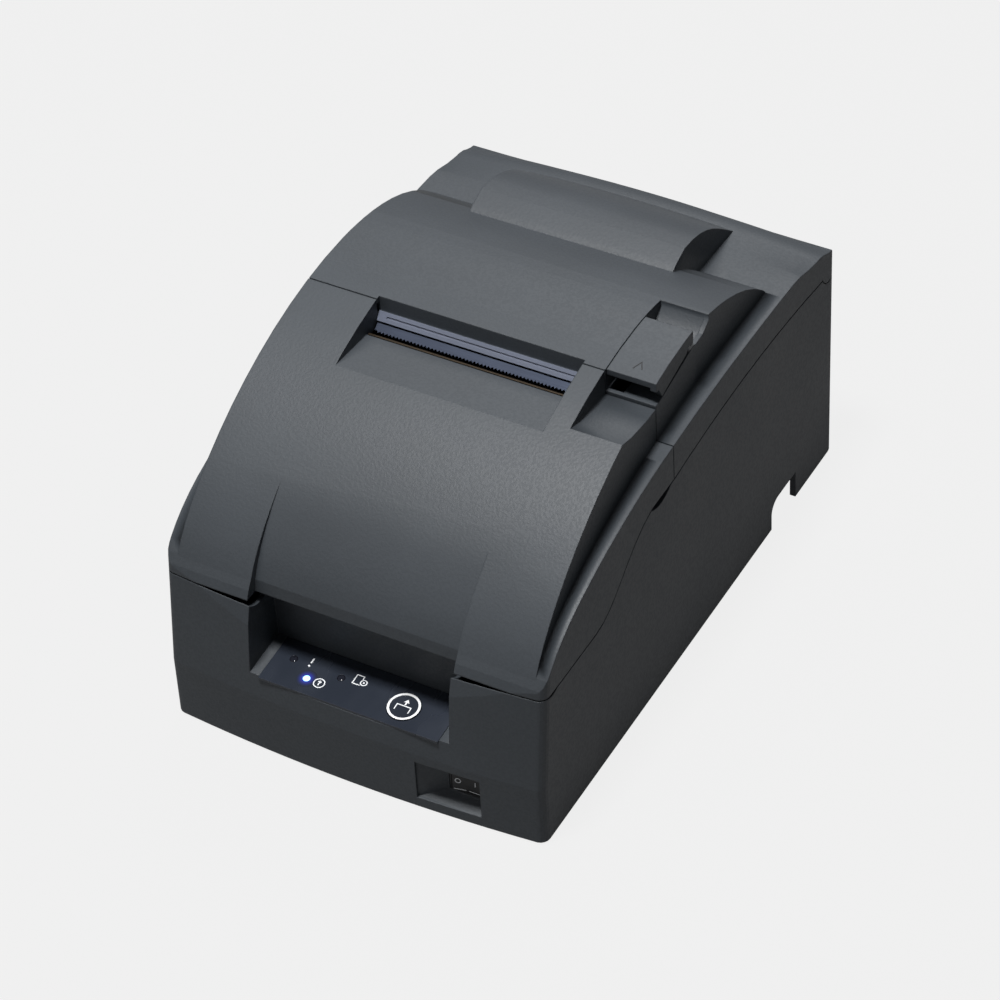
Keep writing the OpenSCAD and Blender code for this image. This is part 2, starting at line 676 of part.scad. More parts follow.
module rear_cover() {
    color("#44474b") difference() {
        union() {
            intersection() {
                shell();
                rear_region();
            }
            intersection() {
                form(eps);
                rear_region();
                union() {
                    difference() {
                        lever_pocket(2);
                        block(-far, far, -far, far, crest_h + 1, far + 1);
                    }
                    // Sill behind the paper slot, carrying the strip and tear bar
                    side_prism([[seam_y + 1.8, crest_h], [sill[0], sill[1]], [seam_y - 1.2, crest_h - 12.7],
                        [seam_y - 1.2, crest_h - 16], [seam_y + 6.5, crest_h - 16], [seam_y + 6.5,
                            crest_h]],
                        -slot_half - wall, slot_half + wall);
                    both_sides() rear_barrel();
                    // Bosses for the platen frame
                    both_sides() block(slot_half + 0.5, slot_half + 4.5, seam_y + 8, seam_y + 18,
                        crest_h - 24, crest_h - 1);
                    // Bearings of the latch shaft
                    both_sides() block(48.6, 50.6, latch_axis[0] - 4, latch_axis[0] + 4,
                        crest_h - 12, crest_h - 1);
                }
            }
        }
        // Rear edge of the slot recess
        side_prism([[seam_y - 1, far], [seam_y - 1, crest_h - 12], sill, [sill[0], far]],
            -slot_half, slot_half);
        // Lever pocket
        lever_pocket(0);
        skirt_cut();
        // Ways for the hooks through the pocket floor
        both_sides() block(latch_x - 1, latch_x + latch_w + 1, seam_y + 2, seam_y + 33.5,
            lever_floor - 4, lever_floor + 2);
        rod_x(latch_shaft_r + run_fit, -52, lever_x + 1, latch_axis);
        both_sides() rod_x(pin_r + run_fit, hinge_ear_x, bore_end, rear_pivot);
    }
}
module rear_hinge_pins() {
    color("silver") both_sides() rod_x(pin_r - 0.005, hinge_ear_x + 0.2,
        bore_end - 0.3, rear_pivot);
}
module cover_lever() {
    g = 0.35;
    color("#44474b") difference() {
        intersection() {
            form(0);
            union() {
                difference() {
                    side_prism([[seam_y + 0.8, far], [seam_y + 0.8, crest_h - 5.8], [lever_back,
                        crest_h - 5.6],
                        [lever_back, far]], lever_x + g, half_w);
                    form(wall);
                }
                // Skirt on the outer side, deep at the front
                side_prism([[seam_y + 0.8, crest_h + 1], [seam_y + 1.2, crest_h - 3.2],
                    [seam_y + 5.5, crest_h - 11], [lever_back, crest_h - 5.6],
                    [lever_back, crest_h + 1]], skirt_x, half_w);
                // Hub on the latch shaft
                rod_x(4, latch_x + latch_w + 1.5, latch_x + latch_w + 8, latch_axis);
                block(latch_x + latch_w + 1.5, latch_x + latch_w + 8, latch_axis[0] - 3,
                    latch_axis[0] + 3, latch_axis[1], crest_h - 1);
            }
        }
        rod_x(latch_shaft_r, lever_x, half_w, latch_axis);
    }
}
module latch_shaft() {
    color("silver") rod_x(latch_shaft_r - 0.005, -59, latch_x + latch_w + 8, latch_axis);
}
latch_reach = norm(stud - latch_axis);
latch_angle = atan2(latch_axis[0] - stud[0], latch_axis[1] - stud[1]);
module latch_hooks() {
    front_side = latch_angle + asin((stud_r + 0.4 + 2.2) / latch_reach);
    color("dimgray") both_sides() difference() {
        union() {
            rod_x(4, latch_x - 0.4, latch_x + latch_w + 0.4, latch_axis);
            translate([latch_x, latch_axis[0], latch_axis[1]]) rotate([-front_side, 0,
                0]) rotate([90, 0, 90])
                linear_extrude(height = latch_w) polygon([[-2.2, -3], [2.2, -3],
                    [2.2, -latch_reach - 2.7], [5.8, -latch_reach - 2.7],
                    [5.8, -latch_reach - 5], [-2.2, -latch_reach - 5]]);
        }
        rod_x(latch_shaft_r, latch_x - 1, latch_x + latch_w + 1, latch_axis);
    }
}
module latch_studs() {
    color("silver") both_sides() rod_x(stud_r, latch_x - 0.5, frame_half - 0.01, stud);
}
// Light plastic strip with a groove, on the sloping sill behind the slot
module guide_strip() {
    p = [seam_y + 1.6, crest_h - 8.5];
    q = [seam_y - 1.1, crest_h - 11.4];
    n = [(p - q)[1], -(p - q)[0]] / norm(p - q);
    color("#b9bfca") difference() {
        side_prism([p, q, q - 0.9 * n, p - 0.9 * n], -slot_half + 0.2, slot_half - 0.2);
        side_prism([mix(p, q, 0.4) - 1 * n, mix(p, q, 0.6) - 1 * n, mix(p, q, 0.6) - 0.4 * n,
            mix(p, q, 0.4) - 0.4 * n], -slot_half + 4, slot_half - 2);
    }
}
module tear_bar() {
    a = [seam_y - 1.2, crest_h - 11.8];
    slope = 33;
    depth = 3.4;
    count = floor((2 * slot_half - 3) / tear_pitch / 2);
    color("#5d6675") translate([0, a[0], a[1]]) rotate([slope, 0, 0]) translate([0, 0, -0.8])
        linear_extrude(height = 0.8) polygon(concat(
            [[slot_half - 0.4, 0], [-slot_half + 0.4, 0], [-slot_half + 0.4, -depth]],
            [for (i = [-count:count - 1], k = [0, 1])
                [(i + k / 2) * tear_pitch, -depth - k * 0.8]],
            [[count * tear_pitch, -depth], [slot_half - 0.4, -depth]]));
}
module fixed_blade() {
    color("silver") block(-blade_half - 2, blade_half + 2, platen_y + 0.1, seam_y + 6.5,
        cutter_z + 5.6, cutter_z + 7);
}
module platen_frame() {
    color("#8b8f94") difference() {
        union() {
            both_sides() side_prism([[platen_y + 1.6, print_z - 8], [seam_y + 10, print_z - 8],
                [seam_y + 18, print_z + 12], [seam_y + 18, crest_h - 10], [seam_y + 9, crest_h - 10],
                [seam_y + 7, cutter_z + 2], [platen_y + 1.6, cutter_z + 2]],
                slot_half - 1, slot_half + 0.5);
            block(-slot_half, slot_half, seam_y + 6.5, seam_y + 8, print_z - 8, crest_h - 14.5);
        }
        both_sides() rod_x(pinch_shaft_r + run_fit, 30, 60, pinch_axis);
        block(-slot_half + 2.5, slot_half - 2.5, seam_y + 6, seam_y + 9,
            pinch_axis[1] - pinch_r - 1, pinch_axis[1] + pinch_r + 1);
    }
}
module platen() {
    color("#2a2a2d") block(-41, 41, platen_y, seam_y + 6.5, print_z - 8, print_z + 7);
}
module feed_roller() {
    color("#3b3b3d") difference() {
        union() {
            rod_x(feed_r, -39, 39, feed_axis);
            rod_x(feed_shaft_r, gear_x - 0.6, frame_half + plate_t + 1, feed_axis);
        }
        rod_x(1, frame_half, frame_half + 4, feed_axis);
    }
}
function turn(p, q) = atan2((q - p)[1], (q - p)[0]);
phase_pinion = turn(motor_axis, idler_axis);
phase_idler = phase_pinion + 180 + 180 / idler_n;
idler_offset = (turn(idler_axis, feed_axis) - phase_idler) / (360 / idler_n);
phase_roller = turn(idler_axis, feed_axis) + 180 + (idler_offset + 0.5) * 360 / roller_n;
module feed_roller_gear() {
    color("white") gear_x(roller_n, gear_m, phase_roller, feed_axis, gear_x, gear_w, feed_shaft_r + 0.005);
}
module feed_pinion() {
    color("goldenrod") {
        gear_x(pinion_n, gear_m, phase_pinion, motor_axis, gear_x, gear_w, 1.2);
        rod_x(1.205, -frame_half - 8.5, -frame_half + 0.8, motor_axis);
    }
}
module idler_gear() {
    color("white") difference() {
        gear_x(idler_n, gear_m, phase_idler, idler_axis, gear_x, gear_w, 3 + run_fit);
        for (a = [30:60:330]) rod_x(3.5, gear_x - 1, gear_x + gear_w + 1,
            idler_axis + 11 * [cos(a), sin(a)]);
    }
}
module idler_stud() {
    color("silver") rod_x(3, gear_x - 0.5, -frame_half - plate_t, idler_axis);
}
module pinch_rollers() {
    color("#4a4a4c") {
        rod_x(pinch_shaft_r, -slot_half - 1.5, slot_half + 1.5, pinch_axis);
        for (x = [-33, -11, 11, 33]) rod_x(pinch_r, x - 6, x + 6, pinch_axis);
    }
}
module paper_guide() {
    p = [[seam_y + 20.5, print_z - 7], [seam_y + 8, print_z - 10.5], [platen_y + 0.5, print_z - 12]];
    color("#8b8f94") {
        side_prism([p[0], p[1], p[2], p[2] - [0, 1.5], p[1] - [0, 1.5], p[0] - [0, 1.5]], -41, 41);
        block(-frame_half, frame_half, platen_y + 1, seam_y + 2, print_z - 14.5, print_z - 13);
        block(-41, 41, platen_y + 0.6, platen_y + 2, print_z - 14.5, print_z - 13);
    }
}

// ---------------------------------------------------------------- roll bin
module roll_bin() {
    t = 2;
    h = bin_w / 2;
    color("#303236") difference() {
        union() {
            intersection() {
                rod_x(bin_r + t, -h - t, h + t, bin_axis);
                block(-far, far, -far, far, 0, bin_rim);
            }
            both_sides() block(30, h + t, bin_axis[0] - 12, bin_axis[0] + 12, bay_top, 36);
        }
        rod_x(bin_r, -h, h, bin_axis);
    }
}
module near_end_sensor() {
    color("#222226") {
        block(bin_w / 2 + 2, bin_w / 2 + 10, bin_axis[0] - 32, bin_axis[0] - 18, 46, 58);
        rod_y(2, bin_axis[0] - 34, bin_axis[0] - 30, bin_w / 2 + 6, 52);
    }
}

// ---------------------------------------------------------------- mechanism
module main_frame() {
    side = [[frame_front, frame_z], [frame_back, frame_z], [frame_back, print_z + 8],
        [platen_y + 1.5, print_z + 8], [platen_y + 1.5, frame_top], [seam_y - 38, frame_top],
        [seam_y - 66, print_z + 8], [frame_front, print_z - 8]];
    color("#a9adb2") difference() {
        union() {
            block(-frame_half, frame_half, frame_front, frame_back, frame_z, frame_z + plate_t);
            both_sides() side_prism(side, frame_half, frame_half + plate_t);
        }
        both_sides() {
            rod_x(shaft_d / 2 + run_fit, frame_half - 1, frame_half + 3, [rear_shaft_y, shaft_z]);
            rod_x(front_shaft_d / 2 + run_fit, frame_half - 1, frame_half + 3, [front_shaft_y, shaft_z]);
            for (y = post_ys) rod_z(1.6, frame_z - 1, frame_z + 3, post_x, y);
        }
        rod_x(4, -frame_half - 3, -frame_half + 1, motor_axis);
        both_sides() rod_x(feed_shaft_r + run_fit, frame_half - 1, frame_half + 3, feed_axis);
        // Lightening window in each side
        both_sides() block(frame_half - 1, frame_half + 3, seam_y - 55, seam_y - 35, frame_z + 14,
            shaft_z - 8);
    }
}
module rear_guide_shaft() {
    color("silver") rod_x(shaft_d / 2, -frame_half - 2.5, frame_half + 2.5, [rear_shaft_y, shaft_z]);
}
module front_guide_shaft() {
    color("silver") rod_x(front_shaft_d / 2, -frame_half - 2.5, frame_half + 2.5, [front_shaft_y, shaft_z]);
}
module carriage() {
    color("#1e1e20") translate([home_x, 0, 0]) difference() {
        union() {
            block(-carriage_half, carriage_half, front_shaft_y - 6, rear_shaft_y + 6, carriage_z,
                carriage_top);
            // Clamp round the front run of the belt
            block(-5, 5, belt_y - pulley_r - belt_t - 2, belt_y - pulley_r + 2, belt_z - 1, carriage_z + 1);
        }
        rod_x(shaft_d / 2 + run_fit, -20, 20, [rear_shaft_y, shaft_z]);
        rod_x(front_shaft_d / 2 + run_fit, -20, 20, [front_shaft_y, shaft_z]);
        block(-6, 6, belt_y - pulley_r - belt_t - 0.4, belt_y - pulley_r + 0.3, belt_z - 2,
            belt_z + belt_w + 0.3);
        block(-9, 9, front_shaft_y + 8, rear_shaft_y - 8, carriage_z + 5, carriage_top + 1);
    }
}
module print_head() {
    y0 = front_shaft_y + 9;
    y1 = rear_shaft_y + 3;
    pitch = (y1 - y0 - 3) / (fin_count - 1);
    color("#6d7076") translate([home_x, 0, 0]) {
        block(-8.8, 8.8, y0, rear_shaft_y - 8.2, carriage_z + 5, carriage_top + 0.31);
        block(-8.8, 8.8, y0, y1 - 1, carriage_top + 0.3, 80);
        for (i = [0:fin_count - 1])
            block(-13, 13, y0 + i * pitch, y0 + i * pitch + 2, carriage_top + 0.3, 87.5);
        side_prism([[y1 - 2, 74], [y1 + 3, 82], [head_tip_y - 5, print_z - 6], [head_tip_y, print_z - 5],
            [head_tip_y, print_z + 5], [head_tip_y - 8, print_z + 4.5], [y1 - 2, 87]], -6, 6);
    }
}
module slab_loop(r, z0, z1) {
    rod_z(r, z0, z1, -pulley_x, belt_y);
    rod_z(r, z0, z1, pulley_x, belt_y);
    block(-pulley_x, pulley_x, belt_y - r, belt_y + r, z0, z1);
}
module carriage_belt() {
    color("#1b1b1b") difference() {
        slab_loop(pulley_r + 0.1 + belt_t, belt_z, belt_z + belt_w);
        slab_loop(pulley_r + 0.1, belt_z - 1, belt_z + belt_w + 1);
    }
}
module pulley(x, bore) {
    difference() {
        union() {
            rod_z(pulley_r, belt_z - 0.8, belt_z + belt_w + 0.8, x, belt_y);
            rod_z(pulley_r + 1.4, belt_z - 1, belt_z - 0.3, x, belt_y);
            rod_z(pulley_r + 1.4, belt_z + belt_w + 0.3, belt_z + belt_w + 1, x, belt_y);
        }
        rod_z(bore, belt_z - 2, belt_z + belt_w + 2, x, belt_y);
    }
}
module motor_pulley() {
    color("silver") {
        pulley(-pulley_x, 1.495);
        rod_z(1.5, belt_z - 1.9, belt_z + belt_w + 1.4, -pulley_x, belt_y);
    }
}
module carriage_motor() {
    color("#77797d") difference() {
        union() {
            rod_z(13, frame_z + plate_t, belt_z - 2.2, -pulley_x, belt_y);
            rod_z(5, belt_z - 2.3, belt_z - 1.3, -pulley_x, belt_y);
        }
        rod_z(1.5 + run_fit, belt_z - 2, belt_z, -pulley_x, belt_y);
    }
}
module idler_pulley() {
    color("silver") pulley(pulley_x, 2 + run_fit);
}
module idler_post() {
    color("#8f9296") {
        rod_z(2, frame_z + plate_t, belt_z + belt_w + 1.4, pulley_x, belt_y);
        rod_z(5, frame_z + plate_t, belt_z - 1.3, pulley_x, belt_y);
    }
}
spindle_at = [55.5, seam_y - 57.5];
module ribbon_cassette() {
    y0 = seam_y - 69.5;
    y1 = seam_y - 31.5;
    z0 = print_z - 0.5;
    z1 = print_z + 10;
    color("#232325") difference() {
        union() {
            block(-59, 59, y0, y1, z0, z1);
            both_sides() block(52.5, 59, y1 - 1, ribbon_y + 1.2, z0, z1 - 2);
            both_sides() block(59 - eps, frame_half - 0.2, y1 - 12, y1 - 6, z0, z0 + 3);
        }
        rod_z(3.2, z0 - 1, z1 + 1, spindle_at[0], spindle_at[1]);
        // Ribbon slots in the arm tips
        both_sides() block(50, 56, ribbon_y - 0.3, ribbon_y + 0.6, z0 - 1, z1);
    }
}
module ribbon() {
    color("#5b2f86") block(-55.5, 55.5, ribbon_y, ribbon_y + 0.3, print_z - 6.3, print_z + 6.4);
}
module ribbon_spindle() {
    color("silver") rod_z(3, frame_z + plate_t + 2.3, print_z + 10.6, spindle_at[0], spindle_at[1]);
}
module ribbon_knob() {
    r = 5.6;
    color("#e8e4da") difference() {
        union() {
            rod_z(r, print_z + 10.6, print_z + 15, spindle_at[0], spindle_at[1]);
            for (a = [0:45:315]) rod_z(0.6, print_z + 10.6, print_z + 15,
                spindle_at[0] + r * cos(a), spindle_at[1] + r * sin(a));
        }
        rod_z(2, print_z + 13.5, print_z + 16, spindle_at[0], spindle_at[1]);
    }
}
module spindle_bush() {
    color("goldenrod") difference() {
        rod_z(5, frame_z + plate_t, frame_z + plate_t + 6, spindle_at[0], spindle_at[1]);
        rod_z(3 + run_fit, frame_z + plate_t + 2, frame_z + plate_t + 7, spindle_at[0], spindle_at[1]);
    }
}
module feed_motor() {
    color("#77797d") difference() {
        rod_x(15, -frame_half + 0.01, -frame_half + 20, motor_axis);
        rod_x(1.25, -frame_half - 1, -frame_half + 1, motor_axis);
    }
}

// ---------------------------------------------------------------- cutter
module cutter_frame() {
    y0 = seam_y - 38;
    y1 = seam_y - 8.6;
    color("#9a9da1") difference() {
        union() {
            block(-cutter_half, cutter_half, y0, y1, cutter_z, cutter_z + 1.2);
            both_sides() block(cutter_half - 1.5, cutter_half, y0, y1, cutter_z, cutter_z + 6);
            both_sides() block(cutter_half - 1, frame_half + plate_t, seam_y - 30, seam_y - 12,
                frame_top, frame_top + 2);
            both_sides() block(cutter_half - 1, cutter_half, seam_y - 30, seam_y - 12,
                frame_top, cutter_z + 1);
            block(rack_x - 9, rack_x - 7.5, cutter_pinion_axis[0] - 7, cutter_pinion_axis[0] + 7,
                cutter_pinion_axis[1] - 4, cutter_z + 0.1);
        }
        block(rack_x - 3, rack_x + 3, y0 - 1, cutter_pinion_axis[0] + 16, cutter_z - 1, cutter_z + 2);
        rod_x(1 + run_fit, rack_x - 10, rack_x, cutter_pinion_axis);
    }
}
module cutter_edge() {
    color("#8a6f4a") {
        block(-slot_half + 0.5, slot_half - 0.5, seam_y - 8.8, seam_y - 8, cutter_z + 6.5, crest_h - 12.1);
        both_sides() block(slot_half - 2.5, slot_half - 0.5, seam_y - 8.8, seam_y - 8,
            cutter_z + 1.2, cutter_z + 7);
        both_sides() block(slot_half - 2.5, slot_half - 0.5, seam_y - 14, seam_y - 8,
            cutter_z + 1.2, cutter_z + 2.4);
    }
}
rack_pitch_z = cutter_pinion_axis[1] + cutter_n * cutter_m / 2;
module moving_blade() {
    y0 = seam_y - 34;
    tooth = PI * cutter_m;
    z1 = cutter_z + 4.4;
    color("gainsboro") {
        block(-blade_half + 1.2, blade_half - 1.2, y0, seam_y - 9.2, z1, z1 + 1);
        block(rack_x - 2, rack_x + 2, y0, cutter_pinion_axis[0] + 5 * tooth, rack_pitch_z + cutter_m, z1);
        for (i = [-5:4])
            side_prism([[cutter_pinion_axis[0] + (i + 0.5 - 0.3) * tooth, rack_pitch_z + 1.2 * cutter_m],
                [cutter_pinion_axis[0] + (i + 0.5 - 0.11) * tooth, rack_pitch_z - 0.8 * cutter_m],
                [cutter_pinion_axis[0] + (i + 0.5 + 0.11) * tooth, rack_pitch_z - 0.8 * cutter_m],
                [cutter_pinion_axis[0] + (i + 0.5 + 0.3) * tooth, rack_pitch_z + 1.2 * cutter_m]],
                rack_x - 2, rack_x + 2);
    }
}
module cutter_pinion() {
    color("white") {
        gear_x(cutter_n, cutter_m, 90, cutter_pinion_axis, rack_x - 2, 4, 0.9);
        rod_x(1, rack_x - 7.4, rack_x + 8.5, cutter_pinion_axis);
        rod_x(1, rack_x - 8.5, rack_x - 7.4 + eps, cutter_pinion_axis);
    }
}
module cutter_motor() {
    color("#55585c") difference() {
        union() {
            block(rack_x + 8, rack_x + 30, cutter_pinion_axis[0] - 5, cutter_pinion_axis[0] + 5,
                cutter_z - 9, cutter_z);
            rod_x(3, rack_x + 7, rack_x + 9, cutter_pinion_axis);
        }
        rod_x(1 + run_fit, rack_x + 6, rack_x + 9, cutter_pinion_axis);
    }
}

// ---------------------------------------------------------------- electronics
module main_board() {
    z = board_z + board_t;
    color("#1f5b3a") {
        block(-50, 50, frame_front + 20, bay_y - 4, board_z, z);
        for (i = [-2:2]) block(i * 16 - 5, i * 16 + 5, -40, -30, z - eps, z + 2);
        block(-20, 8, -10, 14, z - eps, z + 3);
        for (x = [-38, -28, 30, 40]) rod_z(4, z - eps, z + 11, x, 20);
    }
}
module connector_plate() {
    color("silver") difference() {
        block(-46, 46, bay_y, bay_y + 0.8, 5, bay_top - base_t - 0.3);
        block(-42.7, -25.3, bay_y - 1, bay_y + 2, board_z + board_t - 0.3, bay_top - base_t - 0.8);
        block(-8.7, 6.7, bay_y - 1, bay_y + 2, board_z + board_t - 0.3, bay_top - base_t - 0.8);
        block(19.3, 40.7, bay_y - 1, bay_y + 2, board_z + board_t - 0.3, bay_top - base_t - 0.8);
    }
}
module socket_box(x0, x1, depth) {
    difference() {
        block(x0, x1, bay_y - depth, bay_y + 0.5, board_z + board_t, bay_top - base_t - 1);
        children();
    }
}
module power_inlet() {
    color("#111113") socket_box(-42.4, -25.6, 16)
        rod_y(5, bay_y - 10, bay_y + 1, -34, 16);
}
module drawer_jack() {
    color("#19191b") socket_box(-8.4, 6.4, 16)
        block(-6.4, 4.4, bay_y - 10, bay_y + 1, board_z + board_t + 1.5, bay_top - base_t - 2.5);
}
module interface_connector() {
    color("#c9ccd1") socket_box(19.6, 40.4, 16)
        block(24, 36, bay_y - 10, bay_y + 1, board_z + board_t + 1.2, bay_top - base_t - 2.2);
}
module case_screws() {
    color("silver") both_sides() for (y = screw_ys) {
        rod_z(1.295, base_z + 0.5, 13, screw_x, y);
        rod_z(3, base_z + 0.2, base_z + 1.2, screw_x, y);
    }
}
module frame_screws() {
    color("silver") both_sides() for (y = post_ys) {
        rod_z(1.44, 18, frame_z + plate_t + 1, post_x, y);
        rod_z(3, frame_z + plate_t, frame_z + plate_t + 2, post_x, y);
    }
}

lower_case();
bottom_cover();
rubber_feet();
control_panel();
panel_board();
status_lamps();
feed_button();
power_switch_body();
power_rocker();
front_cover();
front_hinge_pins();
rear_cover();
rear_hinge_pins();
cover_lever();
latch_shaft();
latch_hooks();
latch_studs();
guide_strip();
tear_bar();
fixed_blade();
platen_frame();
platen();
feed_roller();
feed_roller_gear();
pinch_rollers();
paper_guide();
roll_bin();
near_end_sensor();
main_frame();
rear_guide_shaft();
front_guide_shaft();
carriage();
print_head();
carriage_belt();
carriage_motor();
motor_pulley();
idler_pulley();
idler_post();
ribbon_cassette();
ribbon();
ribbon_spindle();
ribbon_knob();
spindle_bush();
feed_motor();
feed_pinion();
idler_gear();
idler_stud();
cutter_frame();
cutter_edge();
moving_blade();
cutter_pinion();
cutter_motor();
main_board();
connector_plate();
power_inlet();
drawer_jack();
interface_connector();
case_screws();
frame_screws();
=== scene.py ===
"""Looks of an impact receipt printer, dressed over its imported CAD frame."""

import json
import logging
import math
from dataclasses import dataclass, field
from enum import Enum
from typing import Any, Callable, Sequence

import bmesh
import bpy
from mathutils import Matrix, Vector

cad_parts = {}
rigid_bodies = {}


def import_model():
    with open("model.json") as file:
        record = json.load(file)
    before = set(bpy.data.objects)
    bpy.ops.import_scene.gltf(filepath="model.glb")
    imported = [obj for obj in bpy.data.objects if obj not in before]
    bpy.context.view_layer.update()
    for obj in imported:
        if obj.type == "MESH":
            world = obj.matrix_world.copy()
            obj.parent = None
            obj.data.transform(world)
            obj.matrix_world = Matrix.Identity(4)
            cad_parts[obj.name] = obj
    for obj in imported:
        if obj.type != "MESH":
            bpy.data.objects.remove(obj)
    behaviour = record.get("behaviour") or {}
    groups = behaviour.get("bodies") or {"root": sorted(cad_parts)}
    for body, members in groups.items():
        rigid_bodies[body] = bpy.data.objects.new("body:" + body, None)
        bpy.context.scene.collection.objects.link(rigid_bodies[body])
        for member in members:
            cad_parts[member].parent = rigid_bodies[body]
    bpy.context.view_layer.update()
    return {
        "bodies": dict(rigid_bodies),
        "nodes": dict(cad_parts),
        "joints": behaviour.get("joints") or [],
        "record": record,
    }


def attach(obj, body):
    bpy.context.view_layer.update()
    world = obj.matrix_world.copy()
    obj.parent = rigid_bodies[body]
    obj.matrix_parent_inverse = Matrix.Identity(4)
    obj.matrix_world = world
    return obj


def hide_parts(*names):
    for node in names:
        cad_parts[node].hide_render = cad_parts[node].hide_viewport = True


MM = 0.001
log = logging.getLogger("printer")

Point = tuple[float, float, float]
Colour = tuple[float, float, float]


class Axis(Enum):
    """Direction that a cutting plane faces."""

    X = (1.0, 0.0, 0.0)
    Y = (0.0, 1.0, 0.0)


# ------------------------------------------------------------------ materials
class Wire:
    """An output socket that can be used in Python sums."""

    def __init__(self, bench: "Bench", socket: Any) -> None:
        """Keeps the socket and the bench that can add nodes after it."""
        self.bench = bench
        self.socket = socket

    def _math(self, operation: str, a: Any, b: Any) -> "Wire":
        """Adds one Math node.

        Args:
            operation: Blender's name of the operation.
            a: first value or wire.
            b: second value or wire.

        Returns:
            The result as a wire.
        """
        return self.bench.out("ShaderNodeMath", {"operation": operation}, {0: a, 1: b})

    def __add__(self, other: Any) -> "Wire":
        """Sum with a value or wire."""
        return self._math("ADD", self, other)

    __radd__ = __add__

    def __sub__(self, other: Any) -> "Wire":
        """This wire less a value or wire."""
        return self._math("SUBTRACT", self, other)

    def __rsub__(self, other: Any) -> "Wire":
        """A value less this wire."""
        return self._math("SUBTRACT", other, self)

    def __mul__(self, other: Any) -> "Wire":
        """Product with a value or wire."""
        return self._math("MULTIPLY", self, other)

    __rmul__ = __mul__

    def power(self, exponent: float) -> "Wire":
        """This wire raised to an exponent."""
        return self._math("POWER", self, exponent)


class Bench:
    """Builds the node tree of one material."""

    def __init__(self, name: str) -> None:
        """Starts an empty material of that name."""
        self.material = bpy.data.materials.new(name)
        self.material.use_nodes = True
        self.tree = self.material.node_tree
        self.tree.nodes.clear()

    def node(self, kind: str, settings: dict[str, Any], sockets: dict[Any, Any]) -> Any:
        """Adds a node, sets it up, then fills or links its sockets.

        Args:
            kind: Blender's node type.
            settings: properties that are set first.
            sockets: values or wires by socket name or number.

        Returns:
            The new node.
        """
        made = self.tree.nodes.new(kind)
        for key, value in settings.items():
            if key == "stops":
                ramp = made.color_ramp
                while len(ramp.elements) < len(value):
                    ramp.elements.new(0.5)
                for element, (place, colour) in zip(ramp.elements, value):
                    element.position = place
                    element.color = (*colour, 1.0)
            else:
                setattr(made, key, value)
        for key, value in sockets.items():
            if isinstance(value, Wire):
                self.tree.links.new(value.socket, made.inputs[key])
            elif isinstance(value, tuple) and len(value) == 3 and made.inputs[key].type == "RGBA":
                made.inputs[key].default_value = (*value, 1.0)
            else:
                made.inputs[key].default_value = value
        return made

    def out(self, kind: str, settings: dict[str, Any], sockets: dict[Any, Any],
            output: Any = 0) -> Wire:
        """Adds a node and gives one of its outputs as a wire."""
        return Wire(self, self.node(kind, settings, sockets).outputs[output])

    def place(self, scale: Point = (1.0, 1.0, 1.0), turn: Point = (0.0, 0.0, 0.0)) -> Wire:
        """Object coordinates in metres, stretched and turned.

        Args:
            scale: factor on each axis.
            turn: turn about each axis in radians.

        Returns:
            The coordinates as a wire.
        """
        raw = self.out("ShaderNodeTexCoord", {}, {}, "Object")
        return self.out("ShaderNodeMapping", {"vector_type": "POINT"},
                        {"Vector": raw, "Scale": scale, "Rotation": turn})

    def noise(self, scale: float, detail: float = 2.0, at: Wire | None = None,
              roughness: float = 0.5) -> Wire:
        """Soft noise between nought and one.

        Args:
            scale: cells in a metre.
            detail: octaves.
            at: coordinates, the object's own when left out.
            roughness: weight of the finer octaves.

        Returns:
            The noise value.
        """
        return self.out("ShaderNodeTexNoise", {},
                        {"Vector": at or self.place(), "Scale": scale, "Detail": detail,
                         "Roughness": roughness}, "Fac")

    def ramp(self, value: Wire, low: float, high: float) -> Wire:
        """Stretches a value so that low becomes nought and high one."""
        return self.out("ShaderNodeMapRange", {"clamp": True},
                        {"Value": value, "From Min": low, "From Max": high}, "Result")

    def blend(self, mask: Wire | float, a: Any, b: Any) -> Wire:
        """Mixes two colours by a mask.

        Args:
            mask: share of the second colour.
            a: first colour or wire.
            b: second colour or wire.

        Returns:
            The mixed colour.
        """
        made = self.tree.nodes.new("ShaderNodeMix")
        made.data_type = "RGBA"
        for number, value in ((0, mask), (6, a), (7, b)):
            if isinstance(value, Wire):
                self.tree.links.new(value.socket, made.inputs[number])
            elif isinstance(value, tuple):
                made.inputs[number].default_value = (*value, 1.0)
            else:
                made.inputs[number].default_value = value
        return Wire(self, made.outputs[2])

    def rounded(self, radius: float) -> Wire:
        """A normal that is softened at sharp edges."""
        return self.out("ShaderNodeBevel", {"samples": 4}, {"Radius": radius}, "Normal")

    def bump(self, height: Wire, distance: float, strength: float = 1.0,
             normal: Wire | None = None) -> Wire:
        """Relief from a height wire.

        Args:
            height: the height, nought to one.
            distance: what a height of one means, in metres.
            strength: weight of the relief.
            normal: normal under the relief.

        Returns:
            The normal.
        """
        sockets: dict[Any, Any] = {"Height": height, "Distance": distance, "Strength": strength}
        if normal is not None:
            sockets["Normal"] = normal
        return self.out("ShaderNodeBump", {}, sockets, "Normal")

    def finish(self, **sockets: Any) -> bpy.types.Material:
        """Ends the tree in a Principled shader with the given sockets.

        Args:
            **sockets: socket names with underscores for blanks.

        Returns:
            The finished material.
        """
        shader = self.out("ShaderNodeBsdfPrincipled", {},
                          {k.replace("_", " "): v for k, v in sockets.items()}, "BSDF")
        self.node("ShaderNodeOutputMaterial", {}, {"Surface": shader})
        return self.material


